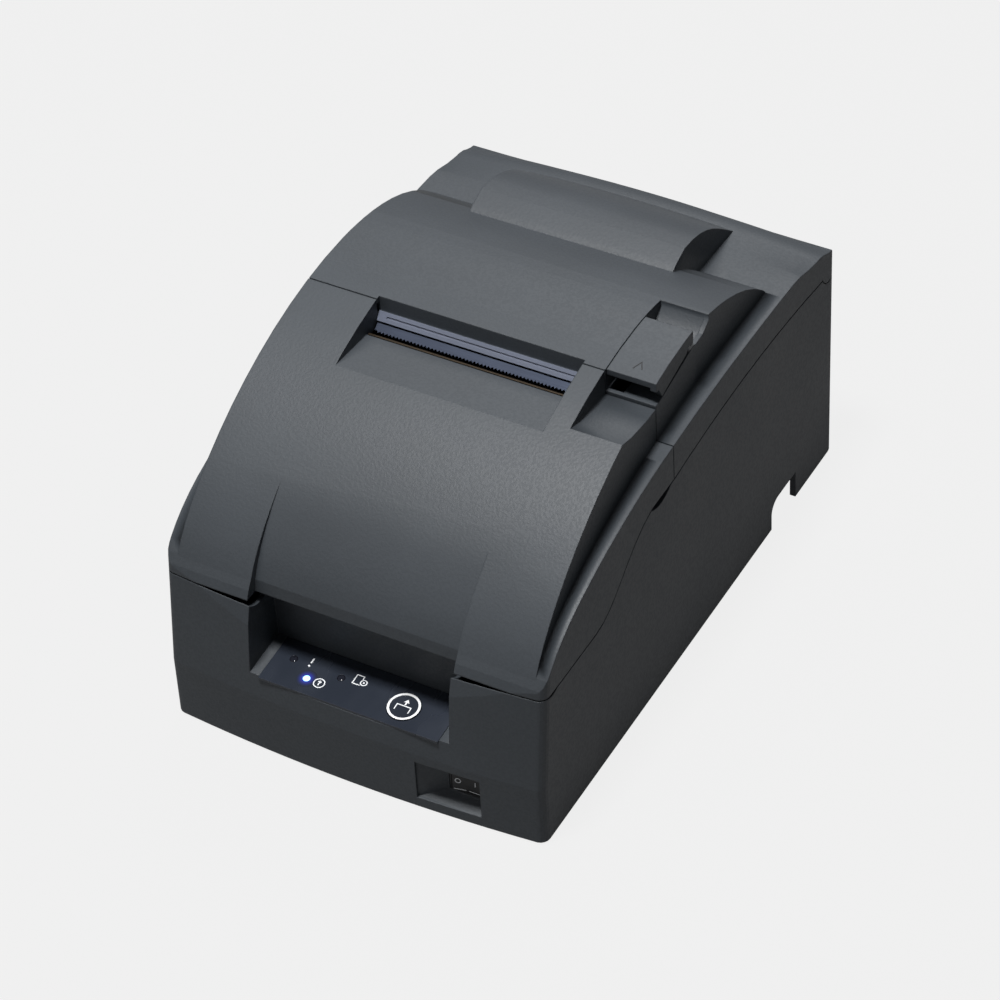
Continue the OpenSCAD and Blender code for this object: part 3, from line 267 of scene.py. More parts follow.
@dataclass(frozen=True)
class GrainedPlastic:
    """Moulded plastic with a fine spark-eroded grain."""

    name: str
    colour: Colour
    roughness: float = 0.5
    grain: float = 0.0007
    depth: float = 0.00004
    edge: float = 0.0006
    mottle: float = 0.06

    def material(self) -> bpy.types.Material:
        """Builds the material."""
        b = Bench(self.name)
        fine = b.noise(1.0 / self.grain, 2.0)
        pits = b.ramp(b.noise(0.6 / self.grain, 1.0), 0.42, 0.6)
        broad = b.noise(22.0, 3.0)
        dark = tuple(c * (1 - self.mottle) for c in self.colour)
        light = tuple(c * (1 + self.mottle) for c in self.colour)
        tone = b.blend(b.ramp(broad, 0.35, 0.65), dark, light)
        colour = b.blend(pits * 0.14, tone, tuple(c * 0.6 for c in self.colour))
        rough = self.roughness + (broad - 0.5) * 0.1 + pits * 0.05
        relief = b.bump(fine * 0.5 + pits * 0.5, self.depth, 0.8, b.rounded(self.edge))
        return b.finish(Base_Color=colour, Roughness=rough, Normal=relief)


@dataclass(frozen=True)
class GlossPanel:
    """Smooth dark overlay with a faint orange peel."""

    name: str
    colour: Colour
    roughness: float = 0.22
    edge: float = 0.0003

    def material(self) -> bpy.types.Material:
        """Builds the material."""
        b = Bench(self.name)
        peel = b.noise(500.0, 1.0)
        smear = b.ramp(b.noise(60.0, 3.0, b.place((1.0, 0.4, 1.0))), 0.4, 0.75)
        relief = b.bump(peel, 0.00001, 0.5, b.rounded(self.edge))
        return b.finish(Base_Color=b.blend(smear * 0.3, self.colour,
                                           tuple(c * 1.5 + 0.002 for c in self.colour)),
                        Roughness=self.roughness + smear * 0.12, Normal=relief)


@dataclass(frozen=True)
class WorkedMetal:
    """Metal with fine working marks along one direction."""

    name: str
    colour: Colour
    roughness: float = 0.32
    marks: Point = (1.0, 1.0, 30.0)
    cells: float = 60.0
    depth: float = 0.00001
    edge: float = 0.0003
    stain: float = 0.12

    def material(self) -> bpy.types.Material:
        """Builds the material."""
        b = Bench(self.name)
        lines = b.noise(self.cells, 4.0, b.place(self.marks))
        cloud = b.noise(45.0, 3.0)
        colour = b.blend(b.ramp(cloud, 0.35, 0.7) * self.stain * 3.0, self.colour,
                         tuple(c * 0.72 for c in self.colour))
        rough = self.roughness + (lines - 0.5) * 0.22 + (cloud - 0.5) * 0.1
        relief = b.bump(lines, self.depth, 0.6, b.rounded(self.edge))
        return b.finish(Base_Color=colour, Metallic=1.0, Roughness=rough, Normal=relief)


@dataclass(frozen=True)
class SpangledSheet:
    """Zinc-plated sheet with a faint crystal pattern."""

    name: str
    colour: Colour
    roughness: float = 0.38
    spangle: float = 0.006

    def material(self) -> bpy.types.Material:
        """Builds the material."""
        b = Bench(self.name)
        cells = b.out("ShaderNodeTexVoronoi", {}, {"Vector": b.place(), "Scale": 1 / self.spangle},
                      "Color")
        grey = b.out("ShaderNodeSeparateColor", {}, {"Color": cells}, "Red")
        scratch = b.noise(120.0, 3.0, b.place((1.0, 14.0, 14.0)))
        colour = b.blend(grey * 0.5, self.colour, tuple(c * 0.8 for c in self.colour))
        relief = b.bump(scratch, 0.00001, 0.4, b.rounded(0.0003))
        return b.finish(Base_Color=colour, Metallic=1.0,
                        Roughness=self.roughness + (grey - 0.5) * 0.12 + (scratch - 0.5) * 0.1,
                        Normal=relief)


@dataclass(frozen=True)
class SoftRubber:
    """Matt rubber with a ground surface and light dust."""

    name: str
    colour: Colour
    roughness: float = 0.78

    def material(self) -> bpy.types.Material:
        """Builds the material."""
        b = Bench(self.name)
        grit = b.noise(2600.0, 2.0)
        dust = b.ramp(b.noise(90.0, 4.0), 0.5, 0.8)
        return b.finish(Base_Color=b.blend(dust * 0.35, self.colour,
                                           tuple(c + 0.05 for c in self.colour)),
                        Roughness=self.roughness + (grit - 0.5) * 0.15,
                        Normal=b.bump(grit, 0.00003, 0.7, b.rounded(0.0004)))


@dataclass(frozen=True)
class CircuitBoard:
    """Green board with darker lands and pale tracks."""

    name: str
    colour: Colour

    def material(self) -> bpy.types.Material:
        """Builds the material."""
        b = Bench(self.name)
        where = b.place()
        tracks = b.out("ShaderNodeTexBrick", {"offset": 0.35, "squash": 1.6},
                       {"Vector": where, "Scale": 150.0, "Mortar Size": 0.035,
                        "Brick Width": 0.9, "Row Height": 0.24}, "Fac")
        weave = b.noise(900.0, 1.0)
        return b.finish(Base_Color=b.blend(tracks * 0.7, self.colour,
                                           tuple(c * 1.7 + 0.01 for c in self.colour)),
                        Roughness=0.36 + weave * 0.1,
                        Normal=b.bump(tracks, 0.00003, 0.6, b.rounded(0.0002)))


@dataclass(frozen=True)
class InkedRibbon:
    """Woven ribbon soaked in ink."""

    name: str
    colour: Colour
    thread: float = 0.00035

    def material(self) -> bpy.types.Material:
        """Builds the material."""
        b = Bench(self.name)
        count = 1.0 / self.thread
        warp = b.out("ShaderNodeTexWave", {"bands_direction": "X"},
                     {"Vector": b.place(), "Scale": count / 6.3}, "Fac")
        weft = b.out("ShaderNodeTexWave", {"bands_direction": "Z"},
                     {"Vector": b.place(), "Scale": count / 6.3}, "Fac")
        ink = b.ramp(b.noise(70.0, 3.0), 0.35, 0.7)
        return b.finish(Base_Color=b.blend(ink * 0.6, self.colour,
                                           tuple(c * 0.45 for c in self.colour)),
                        Roughness=0.55 + warp * weft * 0.25,
                        Normal=b.bump(warp * weft, 0.00005, 0.7))


@dataclass(frozen=True)
class LitLens:
    """Clear lamp lens, lit from inside."""

    name: str
    colour: Colour
    glow: float = 6.0

    def material(self) -> bpy.types.Material:
        """Builds the material."""
        b = Bench(self.name)
        swirl = b.noise(900.0, 2.0)
        return b.finish(Base_Color=self.colour, Roughness=0.2 + swirl * 0.1,
                        Emission_Color=b.blend(b.ramp(swirl, 0.3, 0.7), self.colour,
                                               tuple(min(c + 0.25, 1.0) for c in self.colour)),
                        Emission_Strength=self.glow)


@dataclass(frozen=True)
class PrintedInk:
    """Screen-printed mark, slightly uneven."""

    name: str
    colour: Colour

    def material(self) -> bpy.types.Material:
        """Builds the material."""
        b = Bench(self.name)
        fade = b.noise(1500.0, 2.0)
        return b.finish(Base_Color=b.blend(fade * 0.3, self.colour,
                                           tuple(c * 0.75 for c in self.colour)),
                        Roughness=0.5 + fade * 0.15)


@dataclass(frozen=True)
class GlowThroughPanel:
    """Dark overlay with a lamp's light spreading inside it."""

    name: str
    colour: Colour
    glow: Colour
    centre: Point
    reach: float

    def material(self) -> bpy.types.Material:
        """Builds the material."""
        b = Bench(self.name)
        offset = b.out("ShaderNodeVectorMath", {"operation": "SUBTRACT"},
                       {0: b.place(), 1: self.centre})
        far = b.out("ShaderNodeVectorMath", {"operation": "LENGTH"}, {0: offset}, "Value")
        near = b.ramp(far, self.reach, self.reach * 0.3).power(2.2)
        peel = b.noise(500.0, 1.0)
        return b.finish(Base_Color=self.colour, Roughness=0.22 + peel * 0.06,
                        Emission_Color=b.blend(near, (0.0, 0.0, 0.0), self.glow),
                        Emission_Strength=1.0, Normal=b.bump(peel, 0.00001, 0.5))


FINISHES = {
    "case_plastic": GrainedPlastic("case_plastic", (0.042, 0.049, 0.057), roughness=0.5),
    "dark_plastic": GrainedPlastic("dark_plastic", (0.018, 0.019, 0.021), roughness=0.5,
                                   grain=0.0009, edge=0.0004),
    "panel_black": GlossPanel("panel_black", (0.022, 0.027, 0.038)),
    "switch_black": GrainedPlastic("switch_black", (0.004, 0.004, 0.005), roughness=0.4,
                                   grain=0.0009, edge=0.0003),
    "strip_grey": GrainedPlastic("strip_grey", (0.11, 0.125, 0.17), roughness=0.5, grain=0.0005,
                                 depth=0.00002, edge=0.0003),
    "rubber": SoftRubber("rubber", (0.018, 0.018, 0.019)),
    "steel": WorkedMetal("steel", (0.62, 0.63, 0.65), 0.22, (30.0, 1.0, 1.0)),
    "sheet_steel": SpangledSheet("sheet_steel", (0.52, 0.54, 0.57)),
    "blade_steel": WorkedMetal("blade_steel", (0.1, 0.115, 0.155), 0.55, (1.0, 30.0, 30.0)),
    "tear_plate": WorkedMetal("tear_plate", (0.045, 0.053, 0.075), 0.55, (1.0, 30.0, 30.0)),
    "bronze_metal": WorkedMetal("bronze_metal", (0.075, 0.058, 0.042), 0.5, (1.0, 20.0, 20.0)),
    "head_alloy": WorkedMetal("head_alloy", (0.33, 0.34, 0.36), 0.45, (1.0, 1.0, 1.0), 900.0,
                              0.00003),
    "brass": WorkedMetal("brass", (0.7, 0.5, 0.22), 0.28, (30.0, 1.0, 1.0)),
    "gear_white": GrainedPlastic("gear_white", (0.72, 0.7, 0.64), roughness=0.42, grain=0.0012,
                                 depth=0.00001, edge=0.0002, mottle=0.03),
    "board_green": CircuitBoard("board_green", (0.015, 0.09, 0.045)),
    "ribbon_purple": InkedRibbon("ribbon_purple", (0.06, 0.015, 0.12)),
    "lamp_blue": LitLens("lamp_blue", (0.30, 0.72, 1.0), 1.5),
    "lamp_dark": GlossPanel("lamp_dark", (0.014, 0.015, 0.022), 0.12),
    "panel_glow": GlowThroughPanel("panel_glow", (0.022, 0.027, 0.038), (0.02, 0.03, 0.5),
                                   (-0.0213, -0.1179, 0.039), 0.0042),
    "ring_silver": PrintedInk("ring_silver", (0.93, 0.94, 0.95)),
    "ink_white": PrintedInk("ink_white", (0.9, 0.92, 0.94)),
}


class Paintbox:
    """Hands out each finish's material, built once."""

    def __init__(self) -> None:
        """Starts with no material built."""
        self._made: dict[str, bpy.types.Material] = {}

    def get(self, name: str) -> bpy.types.Material:
        """The material of that finish."""
        if name not in self._made:
            self._made[name] = FINISHES[name].material()
        return self._made[name]


# ------------------------------------------------------------------ modelling
def clear_choice() -> None:
    """Deselects every object."""
    bpy.ops.object.select_all(action="DESELECT")


def choose(piece: bpy.types.Object) -> None:
    """Makes a piece the only selected and the active one."""
    clear_choice()
    piece.select_set(True)
    bpy.context.view_layer.objects.active = piece


def settle(piece: bpy.types.Object) -> None:
    """Moves a piece's place and turn into its mesh."""
    choose(piece)
    bpy.ops.object.transform_apply(location=True, rotation=True, scale=True)


def cylinder(name: str, centre: Point, radius: float, depth: float,
             sides: int = 64) -> bpy.types.Object:
    """An upright cylinder primitive at its size and place.

    Args:
        name: name of the piece.
        centre: middle, in millimetres.
        radius: radius, in millimetres.
        depth: length, in millimetres.
        sides: sides of its outline.

    Returns:
        The new piece.
    """
    clear_choice()
    bpy.ops.mesh.primitive_cylinder_add(
        vertices=sides, radius=radius * MM, depth=depth * MM,
        location=Vector(centre) * MM)
    piece = bpy.context.object
    piece.name = name
    settle(piece)
    return piece


def slab(name: str, low: Point, high: Point) -> bpy.types.Object:
    """A box primitive between two corners, in millimetres."""
    clear_choice()
    middle = (Vector(low) + Vector(high)) / 2
    bpy.ops.mesh.primitive_cube_add(size=1.0, location=middle * MM)
    piece = bpy.context.object
    piece.name = name
    piece.scale = (Vector(high) - Vector(low)) * MM
    settle(piece)
    return piece


def soften(piece: bpy.types.Object, width: float, segments: int = 2,
           angle: float = 40.0) -> bpy.types.Object:
    """Rounds the sharp edges of a piece with an applied bevel.

    Args:
        piece: the piece.
        width: width of the rounding, in millimetres.
        segments: steps of the rounding.
        angle: smallest angle that is rounded, in degrees.

    Returns:
        The same piece.
    """
    choose(piece)
    bevel = piece.modifiers.new("rounding", "BEVEL")
    bevel.width = width * MM
    bevel.segments = segments
    bevel.limit_method = "ANGLE"
    bevel.angle_limit = math.radians(angle)
    bpy.ops.object.modifier_apply(modifier=bevel.name)
    bpy.ops.object.shade_smooth_by_angle(angle=math.radians(35.0))
    return piece


def edit(piece: bpy.types.Object, pick: Callable[[Any], bool],
         work: Callable[[], None]) -> None:
    """Selects faces by a rule and runs edit operators on them.

    Args:
        piece: the piece.
        pick: says for each face whether it is taken.
        work: runs the operators.
    """
    choose(piece)
    bpy.ops.object.mode_set(mode="EDIT")
    bpy.ops.mesh.select_mode(type="FACE")
    bpy.ops.mesh.select_all(action="DESELECT")
    mesh = bmesh.from_edit_mesh(piece.data)
    mesh.faces.ensure_lookup_table()
    for face in mesh.faces:
        face.select_set(pick(face))
    bmesh.update_edit_mesh(piece.data)
    work()
    bpy.ops.object.mode_set(mode="OBJECT")


def faces_towards(direction: Point, limit: float = 0.95) -> Callable[[Any], bool]:
    """A rule that takes faces whose normal points a given way."""
    way = Vector(direction).normalized()
    return lambda face: face.normal.dot(way) > limit


def press(piece: bpy.types.Object, towards: Point, rim: float, sink: float) -> None:
    """Insets the faces that point one way and moves them in or out.

    Args:
        piece: the piece.
        towards: direction of the faces.
        rim: width left round them, in millimetres.
        sink: how far they go in, in millimetres, negative for out.
    """
    way = Vector(towards).normalized() * (-sink * MM)

    def work() -> None:
        """Insets, then slides the inner faces."""
        bpy.ops.mesh.inset(thickness=rim * MM, depth=0.0)
        bpy.ops.transform.translate(value=way)

    edit(piece, faces_towards(towards), work)


def joined(name: str, pieces: Sequence[bpy.types.Object]) -> bpy.types.Object:
    """Joins several meshes into one piece of that name."""
    clear_choice()
    for piece in pieces:
        piece.select_set(True)
    bpy.context.view_layer.objects.active = pieces[0]
    if len(pieces) > 1:
        bpy.ops.object.join()
    made = bpy.context.object
    made.name = name
    return made


def copied(piece: bpy.types.Object, move: Point, name: str) -> bpy.types.Object:
    """A copy with its own mesh, moved by millimetres."""
    twin = piece.copy()
    twin.data = piece.data.copy()
    twin.data.transform(Matrix.Translation(Vector(move) * MM))
    twin.name = name
    bpy.context.scene.collection.objects.link(twin)
    return twin


def ribbon_line(name: str, points: Sequence[tuple[float, float]], width: float, height: float,
                closed: bool, lay: Matrix) -> bpy.types.Object:
    """A flat printed line along points on a plane, as a thin solid.

    Args:
        name: name of the piece.
        points: places on the plane, in millimetres.
        width: width of the line, in millimetres.
        height: thickness, in millimetres.
        closed: whether the line returns to its start.
        lay: matrix from the plane to the model, in metres.

    Returns:
        The new piece.
    """
    count = len(points)
    mesh = bpy.data.meshes.new(name)
    left, right = [], []
    for i, p in enumerate(points):
        before = points[(i - 1) % count] if closed or i > 0 else p
        after = points[(i + 1) % count] if closed or i < count - 1 else p
        a = Vector(p) - Vector(before)
        b = Vector(after) - Vector(p)
        a = a.normalized() if a.length else b.normalized()
        b = b.normalized() if b.length else a
        t = (a + b).normalized()
        n = Vector((-t.y, t.x)) * (width / 2 / max(t.dot(a), 0.5))
        left.append(Vector(p) + n)
        right.append(Vector(p) - n)
    verts = []
    for z in (0.0, height):
        for ring in (left, right):
            verts += [lay @ Vector((q.x * MM, q.y * MM, z * MM)) for q in ring]
    n = count
    low_l, low_r, top_l, top_r = 0, n, 2 * n, 3 * n
    faces = []
    steps = range(n if closed else n - 1)
    for i in steps:
        k = (i + 1) % n
        faces += [(top_r + i, top_r + k, top_l + k, top_l + i),
                  (low_l + i, low_l + k, low_r + k, low_r + i),
                  (low_r + i, low_r + k, top_r + k, top_r + i),
                  (top_l + i, top_l + k, low_l + k, low_l + i)]
    if not closed:
        e = n - 1
        faces += [(low_l, low_r, top_r, top_l), (low_r + e, low_l + e, top_l + e, top_r + e)]
    mesh.from_pydata(verts, [], faces)
    mesh.update()
    piece = bpy.data.objects.new(name, mesh)
    bpy.context.scene.collection.objects.link(piece)
    return piece


def circle_points(centre: tuple[float, float], radius: float, count: int = 40,
                  start: float = 0.0, sweep: float = 360.0) -> list[tuple[float, float]]:
    """Points round a circle or arc.

    Args:
        centre: middle of the circle.
        radius: its radius.
        count: number of points.
        start: angle of the first point in degrees.
        sweep: angle covered in degrees.

    Returns:
        The points.
    """
    step = sweep / (count if abs(sweep) >= 360.0 else count - 1)
    return [(centre[0] + radius * math.cos(math.radians(start + i * step)),
             centre[1] + radius * math.sin(math.radians(start + i * step)))
            for i in range(count)]


def drape(piece: bpy.types.Object, onto: bpy.types.Object, sink: float) -> None:
    """Lets a thin mark follow the surface under it.

    Args:
        piece: the mark, built with its underside at nought.
        onto: the surface it lies on.
        sink: how far its underside goes into the surface, in millimetres.
    """
    for vertex in piece.data.vertices:
        start = Vector((vertex.co.x, vertex.co.y, 1.0))
        hit, place, _, _ = onto.ray_cast(start, Vector((0.0, 0.0, -1.0)))
        if hit:
            vertex.co.z += place.z - sink * MM


def upright(angle: float, place: Point) -> Matrix:
    """A plane that stands up, faces the front and is turned about the vertical.

    Args:
        angle: turn in degrees.
        place: its origin, in millimetres.

    Returns:
        Matrix from the plane to the model, in metres.
    """
    return (Matrix.Translation(Vector(place) * MM)
            @ Matrix.Rotation(math.radians(angle), 4, "Z")
            @ Matrix.Rotation(math.radians(90.0), 4, "X"))


class Assembly:
    """A sub-assembly that dresses its CAD nodes and adds its own pieces."""

    def __init__(self, frame: dict[str, Any], paints: Paintbox) -> None:
        """Keeps the frame and the paints."""
        self.frame = frame
        self.paints = paints

    def dress(self, node: str, finish: str) -> None:
        """Gives a CAD node its finish."""
        piece = self.frame["nodes"][node]
        piece.data.materials.clear()
        piece.data.materials.append(self.paints.get(finish))
        log.info("dressed %s in %s", node, finish)

    def add(self, piece: bpy.types.Object, body: str, finish: str, slot: str,
            replaces: Sequence[str] = ()) -> bpy.types.Object:
        """Finishes a new piece and lets it ride on its body.

        Args:
            piece: the new piece.
            body: the body that carries it.
            finish: name of its finish.
            slot: the record's material slot; not used.
            replaces: CAD nodes that it stands for.

        Returns:
            The same piece.
        """
        piece.data.materials.clear()
        piece.data.materials.append(self.paints.get(finish))
        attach(piece, body)
        if replaces:
            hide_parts(*replaces)
        log.info("built %s on %s", piece.name, body)
        return piece

    def twin(self, node: str, name: str, finish: str, body: str, slot: str,
             angle: float = 15.0, rounding: float = 0.0,
             shape: Callable[[bpy.types.Object], None] | None = None) -> bpy.types.Object:
        """A merged and smoothly shaded copy that stands for a CAD node.

        Args:
            node: the CAD node.
            name: name of the copy.
            finish: name of its finish.
            body: the body that carries it.
            slot: the record's material slot.
            angle: largest angle that is shaded smooth, in degrees.
            rounding: width of the edge rounding, in millimetres.
            shape: further work on the merged mesh.

        Returns:
            The copy.
        """
        piece = bpy.data.objects.new(name, self.frame["nodes"][node].data.copy())
        bpy.context.scene.collection.objects.link(piece)
        choose(piece)
        bpy.ops.object.mode_set(mode="EDIT")
        bpy.ops.mesh.select_all(action="SELECT")
        bpy.ops.mesh.remove_doubles(threshold=0.000002)
        if shape is not None:
            bpy.ops.object.mode_set(mode="OBJECT")
            shape(piece)
            choose(piece)
            bpy.ops.object.mode_set(mode="EDIT")
            bpy.ops.mesh.select_all(action="SELECT")
        bpy.ops.mesh.dissolve_limited(angle_limit=math.radians(0.4))
        bpy.ops.object.mode_set(mode="OBJECT")
        if rounding > 0.0:
            soften(piece, rounding, 2, 35.0)
            choose(piece)
        bpy.ops.object.shade_smooth_by_angle(angle=math.radians(angle))
        weigh = piece.modifiers.new("weigh", "WEIGHTED_NORMAL")
        weigh.keep_sharp = True
        bpy.ops.object.modifier_apply(modifier=weigh.name)
        return self.add(piece, body, finish, slot, (node,))


# ------------------------------------------------------------------ sub-assemblies
@dataclass
class CaseShells:
    """Lower case, covers, lever, bottom and feet."""

    assembly: Assembly
    crown_rise: float = 1.4
    crown_drop: float = 3.4
    crown_half: float = 68.0
    crown_start: float = 88.0
    crown_full: float = 109.0
    crown_base: float = 104.0
    chevron: tuple[tuple[float, float], ...] = ((61.5, -9.7), (63.2, -5.8), (64.9, -9.1))

    def crown(self, piece: bpy.types.Object) -> None:
        """Arches the rear deck slightly from side to side.

        Args:
            piece: the merged copy of the rear cover.
        """
        choose(piece)
        bpy.ops.object.mode_set(mode="EDIT")
        cuts = [(Axis.X, x) for x in range(-75, 76, 10)]
        cuts += [(Axis.Y, y) for y in (self.crown_start, 95.0, 102.0, self.crown_full, 117.0)]
        for axis, place in cuts:
            bpy.ops.mesh.select_all(action="DESELECT")
            mesh = bmesh.from_edit_mesh(piece.data)
            for face in mesh.faces:
                face.select_set(max(v.co.y for v in face.verts) > self.crown_start * MM
                                and max(v.co.z for v in face.verts) > self.crown_base * MM)
            bmesh.update_edit_mesh(piece.data)
            bpy.ops.mesh.bisect(plane_co=Vector(axis.value) * (place * MM), plane_no=axis.value)
        bpy.ops.object.mode_set(mode="OBJECT")
        for vertex in piece.data.vertices:
            x, y, z = (c / MM for c in vertex.co)
            reach = min(max((y - self.crown_start) / (self.crown_full - self.crown_start), 0.0),
                        1.0)
            lift = min(max((z - self.crown_base) / 4.0, 0.0), 1.0)
            ease = reach * reach * (3.0 - 2.0 * reach) * lift
            vertex.co.z += ease * MM * (self.crown_rise
                                        - self.crown_drop * (x / self.crown_half) ** 2)

    def build(self) -> None:
        """Dresses the shells and puts the mark on the lever."""
        a = self.assembly
        a.twin("lower_case", "lower_case_shell", "case_plastic", "case_body", "case_plastic")
        a.twin("front_cover", "front_cover_shell", "case_plastic", "front_cover_body",
               "case_plastic")
        a.twin("rear_cover", "rear_cover_shell", "case_plastic", "rear_cover_body",
               "case_plastic", shape=self.crown)
        lever = a.twin("cover_lever", "opening_lever", "case_plastic", "lever_body",
                       "case_plastic")
        mark = ribbon_line("lever_mark", self.chevron, 0.45, 0.1, False, Matrix.Identity(4))
        drape(mark, lever, 0.02)
        a.add(mark, "lever_body", "dark_plastic", "case_plastic")
        a.dress("bottom_cover", "dark_plastic")
        a.dress("rubber_feet", "rubber")
        for node in ("front_hinge_pins", "rear_hinge_pins", "case_screws"):
            a.dress(node, "steel")


@dataclass
class ControlPanel:
    """Panel with its lamps, symbols and feed button."""

    assembly: Assembly
    front: float = -126.0
    height: float = 38.2
    tilt: float = 5.5
    button_at: tuple[float, float] = (18.9, 10.7)
    button_radius: float = 6.4
    button_proud: float = 0.3
    ring_radius: float = 5.9
    lamp_radius: float = 1.5
    lamp_depth: float = 3.5
    lamp_middle: float = -1.65
    halo_radius: float = 4.2
    lamps_at: tuple[tuple[float, float], ...] = ((-21.3, 8.1), (-9.5, 13.5), (-30.5, 14.5))
    line: float = 0.42

    def lay(self, at: tuple[float, float] = (0.0, 0.0), lift: float = 0.0) -> Matrix:
        """The panel's plane at a place, in metres.

        Args:
            at: place across and behind the front edge, in millimetres.
            lift: height over the panel, in millimetres.

        Returns:
            Matrix from the panel to the model.
        """
        slope = math.radians(self.tilt)
        place = Vector((at[0], self.front + at[1], self.height + at[1] * math.tan(slope)))
        return (Matrix.Translation(place * MM) @ Matrix.Rotation(slope, 4, "X")
                @ Matrix.Translation((0.0, 0.0, lift * MM)))

    def lamps(self) -> None:
        """Builds the three domed lenses and the light round the lit one."""
        names = ("ready_lamp", "paper_lamp", "fault_lamp")
        for number, (name, at) in enumerate(zip(names, self.lamps_at)):
            lens = cylinder(name, (0.0, 0.0, self.lamp_middle), self.lamp_radius,
                            self.lamp_depth, 32)
            press(lens, (0, 0, 1), 0.5, -0.12)
            soften(lens, 0.3, 3)
            lens.data.transform(self.lay(at))
            self.assembly.add(lens, "case_body", "lamp_blue" if number == 0 else "lamp_dark",
                              "lamp_blue", ("status_lamps",) if number == 0 else ())
        halo = cylinder("ready_lamp_halo", (0.0, 0.0, 0.02), self.halo_radius, 0.03, 48)
        press(halo, (0, 0, 1), 2.6, 0.0)
        halo.data.transform(self.lay(self.lamps_at[0]))
        self.assembly.add(halo, "case_body", "panel_glow", "panel_black")

    def symbols(self) -> None:
        """Prints the symbols beside the lamps."""
        plane = self.lay(lift=0.0)
        ready, paper = (-15.8, 8.0), (-0.5, 14.8)
        lines = [
            ([(-23.5, 15.3), (-23.5, 17.8)], 0.6, False),
            (circle_points((-23.5, 13.9), 0.25, 10), 0.45, True),
            (circle_points(ready, 2.1, 36), self.line, True),
            ([(ready[0], ready[1] - 1.1), (ready[0], ready[1] + 1.0)], 0.5, False),
            ([(ready[0] - 0.7, ready[1] + 0.35), (ready[0], ready[1] + 1.1),
              (ready[0] + 0.7, ready[1] + 0.35)], 0.4, False),
            ([(-1.4, 13.2), (-4.6, 13.2), (-4.6, 17.5), (-1.6, 17.5), (-1.6, 16.1)],
             self.line, False),
            (circle_points(paper, 1.25, 24), self.line, True),
            (circle_points(paper, 0.25, 10), 0.35, True)]
        marks = [ribbon_line(f"symbol_{i}", points, width, 0.05, closed, plane)
                 for i, (points, width, closed) in enumerate(lines)]
        self.assembly.add(joined("panel_symbols", marks), "case_body", "ink_white",
                          "panel_black")

    def button(self) -> None:
        """Builds the dished feed button with its ring and symbol."""
        cap = cylinder("feed_button_cap", (0.0, 0.0, self.button_proud - 1.45),
                       self.button_radius, 2.9, 96)
        press(cap, (0, 0, 1), 1.1, 0.12)
        press(cap, (0, 0, -1), 4.4, -0.8)
        soften(cap, 0.18, 3, 30.0)
        cap.data.transform(self.lay(self.button_at))
        self.assembly.add(cap, "feed_button_body", "panel_black", "panel_black",
                          ("feed_button",))
        plane = self.lay(self.button_at, self.button_proud - 0.02)
        ring = ribbon_line("feed_button_ring", circle_points((0, 0), self.ring_radius, 96),
                           0.95, 0.16, True, plane)
        soften(ring, 0.06, 2)
        self.assembly.add(ring, "feed_button_body", "ring_silver", "panel_black")
        low = self.lay(self.button_at, self.button_proud - 0.13)
        sheet = ribbon_line("mark_sheet", [(-3.0, -2.3), (-3.0, 0.4), (2.8, 0.4), (2.8, -2.3)],
                            self.line, 0.05, False, low)
        stem = ribbon_line("mark_stem", [(0.0, 0.9), (0.0, 2.2)], 0.6, 0.05, False, low)
        tip = ribbon_line("mark_tip", [(-0.75, 2.3), (0.0, 3.2), (0.75, 2.3), (0.0, 2.45)],
                          0.5, 0.05, True, low)
        self.assembly.add(joined("feed_button_symbol", [sheet, stem, tip]), "feed_button_body",
                          "ink_white", "panel_black")

    def build(self) -> None:
        """Builds the panel."""
        self.assembly.twin("control_panel", "panel_overlay", "panel_black", "case_body",
                           "panel_black")
        self.assembly.dress("panel_board", "board_green")
        self.lamps()
        self.symbols()
        self.button()


@dataclass
class PowerSwitch:
    """Rocker switch with its marks and a painted highlight on its lower edge."""

    assembly: Assembly
    left_turn: float = 11.6
    right_turn: float = 0.4
    off_at: Point = (42.7, -119.83, 15.6)
    on_at: Point = (49.6, -119.07, 15.6)
    mark: float = 0.36

    def build(self) -> None:
        """Builds the rocker, its bezel, its marks and a painted highlight along the rocker's lower
        edge.
        """
        a = self.assembly
        a.twin("power_switch_body", "switch_bezel", "switch_black", "case_body", "dark_plastic")
        a.twin("power_rocker", "switch_rocker", "switch_black", "rocker_body", "panel_black",
               rounding=0.25)
        off = ribbon_line("mark_off", circle_points((0, 0), 1.05, 28), self.mark, 0.06, True,
                          upright(self.left_turn, self.off_at))
        on = ribbon_line("mark_on", [(0.0, -1.1), (0.0, 1.1)], self.mark, 0.06, False,
                         upright(self.right_turn, self.on_at))
        # The two white strips along the rocker's lower edge are painted highlight, standing in for
        # light catching that edge; the O and | are real print.
        edge = ribbon_line("painted_edge_highlight", [(0.6, 0.0), (5.4, 0.0)], 0.3, 0.06, False,
                           upright(self.left_turn, (40.4, -120.29, 11.2)))
        edge_b = ribbon_line("painted_edge_highlight_b", [(0.4, 0.0), (5.6, 0.0)], 0.3, 0.06, False,
                             upright(self.right_turn, (46.4, -119.09, 11.2)))
        a.add(joined("switch_marks_and_highlight", [off, on, edge, edge_b]), "rocker_body", "ink_white",
              "panel_black")


